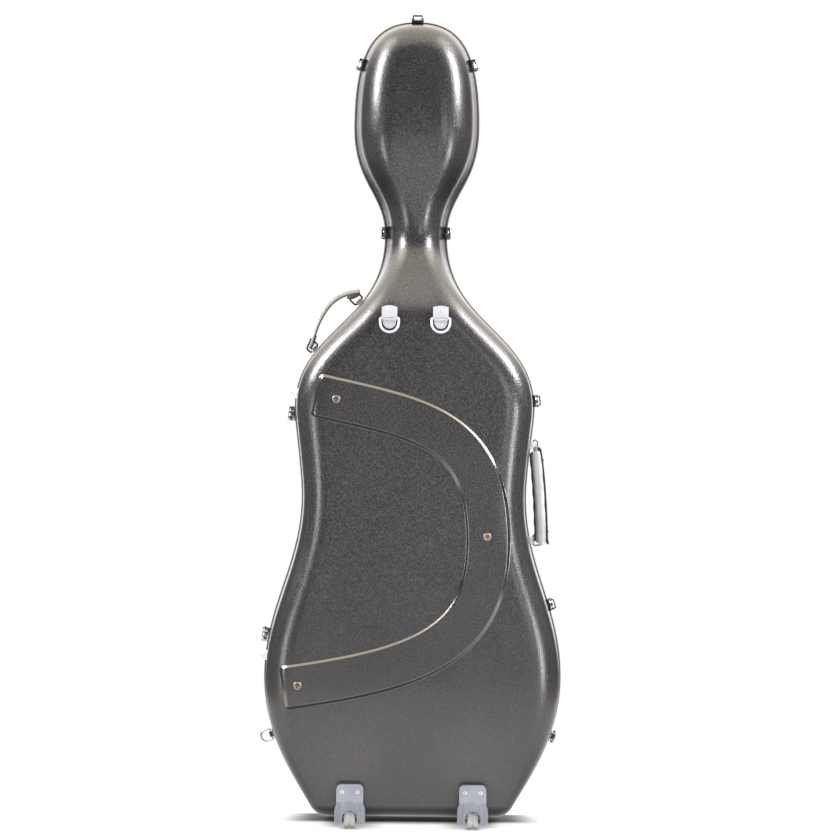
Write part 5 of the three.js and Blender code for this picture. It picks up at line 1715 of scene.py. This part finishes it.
along = np.linspace(strap_low.x + 0.6, end_x - 0.6, 41)
webbing = lofted("neck_strap_webbing", strap_rings(along, 1.0, 9.8, -0.1))
dressed(webbing, "case_back", "strap", ["neck_strap"], angle=50)
patch = lofted("neck_strap_patch", strap_rings(np.linspace(2, end_x - 3, 12), 0.45, 8.4, 1.35))
dressed(patch, "case_back", "rubber", angle=50)
spots = [
    (sign * (end_x - inset), middle.z - 6 + 3 * k)
    for sign in (-1, 1) for k in range(5) for inset in (4, 14)
]
threads = [
    block(f"neck_strap_stitch_{i}", Vector((x - 0.3, middle.y + 1.0, z - 1.0)) * MM,
          Vector((x + 0.3, middle.y + 1.6, z + 1.0)) * MM, 0.15 * MM, 1)
    for i, (x, z) in enumerate(spots)
]
dressed(joined("neck_strap_stitches", *threads), "case_back", "thread")
print("neck strap", [round(float(size), 1) for size in strap_high - strap_low])

# %% [markdown]
# ## The bow clips
# The bow clips are moulded wings on round posts, screwed to a bar on the lid. A clip turns to free
# the bow. Clips and bar keep the exact form of their CAD solids, with softer edges and screws.

# %% Bow bar and clips
BAR_SCREW_X = 64
POST_TIP = -15.0
softened_node("bow_clip_bar", "moulding", "lid", "black", 1.0, 3)
low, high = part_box("bow_clip_bar")
for side, sign in SIDES:
    clip = f"bow_clip_{side}"
    softened_node(clip, "moulding", clip, "black", 1.1, 3)
    seat = frame_at(joints[f"{clip}_turn"]["pos_m"], (0, 1, 0), (1, 0, 0))
    spot = moved_frame(seat, POST_TIP, 0, 0) @ Matrix.Rotation(-math.pi / 2, 4, "Y")
    rivet(f"{clip}_screw", 3.2, 1.0, 28, spot, clip, "nickel")
    place = Vector((sign * BAR_SCREW_X * MM, low.y, (low.z + high.z) / 2))
    spot = standing(place, (0, -1, 0))
    rivet(f"bow_clip_bar_screw_{side}", 2.6, 1.0, 28, spot, "lid", "nickel")
print("bow bar", [round(size / MM, 1) for size in high - low])

# %% [markdown]
# ## The floor
# The floor is one flat sheet. To the camera and in reflections it is plain white, mixed in by Light
# Path as light of strength 1. Under and close behind the case it keeps its own pale surface, which
# takes the soft shadow, and right under the body its colour is painted dark, a painted shadow,
# because hardly any light gets there. In front of the wheels the white is weaker, so that each
# wheel stands on its shadow, and the mask that weakens it paints that shadow's shape. In the
# shell's reflections the floor's colour is painted darker close to the case, a painted shade, and
# far out at both sides.

# %% The floor
FLOOR_SIZE = 24
WHEEL_X = 0.106

bpy.ops.object.select_all(action="DESELECT")
bpy.ops.mesh.primitive_grid_add(
    x_subdivisions=8, y_subdivisions=8, size=FLOOR_SIZE, location=(0, 0, 0))
sheet = settle(named(bpy.context.object, "studio_floor"))
paper = Finish("studio_paper", roughness=0.9)
to_camera, in_gloss, through = (
    paper.add("ShaderNodeLightPath", output=f"Is {kind} Ray")
    for kind in ("Camera", "Glossy", "Transmission")
)
across = paper.axis("X").maths("ABSOLUTE")
deep = paper.axis("Y")
place = {0: paper.place}
reach = paper.add("ShaderNodeVectorMath", {"operation": "LENGTH"}, place, "Value")

far_out = across.ramp(0.8, 1.5)
# painted shade: in reflections the floor's colour is darker close to the case and far out at both
# sides
dimmed = (far_out + (1 - reach.ramp(0.15, 0.45)) * 0.35).maths("MINIMUM", 1.0)
plain = paper.mix(in_gloss * dimmed, colour("f4f4f4"), colour("2c2c2c"))
# painted shadow: the floor right under the body is painted dark
under = deep.ramp(-0.03, 0.02) * (1 - deep.ramp(0.13, 0.17)) * (1 - across.ramp(0.16, 0.24))
paper.set(base_color=paper.mix(under * 0.9, plain, colour("161616")))

# painted shadow: a mask weakens the white glow round the wheels so that their shadow shows
wheel_shadow_mask = 1 - (across - WHEEL_X).maths("ABSOLUTE").ramp(0.015, 0.07)
in_front = (0 - deep).ramp(-0.02, 0.07) * (1 - wheel_shadow_mask * 0.6)
seen = (to_camera + in_gloss * (1 - far_out) + through).maths("MINIMUM", 1.0)
white = seen * reach.ramp(0.2, 0.75).maths("MAXIMUM", in_front)
glow = paper.add("ShaderNodeEmission", {}, {"Color": (1, 1, 1), "Strength": 1.0})
own = Signal(paper, paper.shader.outputs[0])
surface = paper.add("ShaderNodeMixShader", {}, {0: white, 1: own, 2: glow})
paper.feed(paper.tree.nodes["Material Output"].inputs["Surface"], surface)
sheet.data.materials.append(paper.material)
sheet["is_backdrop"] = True
print("floor finish", len(paper.tree.nodes), "nodes")

# %% [markdown]
# ## The room
# The world stands for the room: white behind the case, brightest in the middle, a warm ceiling,
# dark flags at both sides behind the case, two bright soft panels high up at both sides, and a dim
# room behind the camera. A shell with a clear coat shows all of that: light shoulders, long
# highlights, dark strips beside the silhouette and a darker middle. The camera itself sees plain
# white.

# %% The room
world = bpy.data.worlds.new("studio")
bpy.context.scene.world = world
world.use_nodes = True
room = Nodes(world.node_tree)
way = room.add("ShaderNodeTexCoord", output="Generated")
x, y, z = (room.add("ShaderNodeSeparateXYZ", {}, {0: way}, axis) for axis in "XYZ")
aside = x.maths("ABSOLUTE")
ceiling = (z + y * 0.35).ramp(0.42, 0.75)
behind = y.ramp(0.0, 0.4)
flags = behind * aside.ramp(0.34, 0.52) * (1 - ceiling)
walls = behind * (0.9 + 0.6 * (1 - aside.ramp(0.2, 0.42))) + 0.05
panels = (aside * 0.68 + z * 0.73).ramp(0.9, 0.985) * 3
level = (walls * (1 - ceiling) + ceiling * 1.5) * (1 - flags * 0.93) + panels
warm = room.mix(ceiling, (1, 1, 1), (1.0, 0.955, 0.88))
to_camera, through = (
    room.add("ShaderNodeLightPath", output=f"Is {kind} Ray") for kind in ("Camera", "Transmission")
)
plain = (to_camera + through).maths("MINIMUM", 1.0)
sky = world.node_tree.nodes["Background"]
room.feed(sky.inputs["Color"], room.mix(plain, warm, (1, 1, 1)))
room.feed(sky.inputs["Strength"], plain + (1 - plain) * level)
print("room made of", len(world.node_tree.nodes), "nodes")

# %% [markdown]
# ## The lights
# Five softboxes add what the room doesn't give: two high ones at the sides draw the long
# highlights, two low ones light the lower body, the right one more, and a weak one in front lifts
# the flat back. The view transform is Standard, so a colour renders about as it is written.

# %% The lights
COOL = (0.98, 0.98, 1.0)
MIDDLE_LOW, MIDDLE_HIGH, MIDDLE = (0, 0, 0.5), (0, 0, 1.2), (0, 0, 0.9)


def softbox(name, place, target, size, power):
    data = bpy.data.lights.new(name, "AREA")
    data.shape = "RECTANGLE"
    data.size, data.size_y = size
    data.energy = power
    data.color = COOL
    lamp = placed(name, data)
    lamp.location = place
    lamp.rotation_mode = "QUATERNION"
    lamp.rotation_quaternion = (Vector(target) - Vector(place)).to_track_quat("-Z", "Y")
    lamp.visible_camera = False


for side, sign in SIDES:
    low, high = (sign * 2.1, -1.8, 0.45), (sign * 2.2, -0.5, 2.2)
    softbox(f"softbox_{side}_low", low, MIDDLE_LOW, (0.7, 0.8), 14 + 4 * sign)
    softbox(f"softbox_{side}_high", high, MIDDLE_HIGH, (0.8, 1.1), 62)
softbox("softbox_front", (1.6, -4.2, 1.2), MIDDLE, (1.4, 1.2), 14)
bpy.context.scene.view_settings.view_transform = "Standard"

# %% [markdown]
# ## The end
# The box of the visual model is measured over the whole scene and printed, with the number of
# pieces.

# %% The visual box
low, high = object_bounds()
print("pieces", len(SHOWN), "visual box", [round(size, 4) for size in high - low])
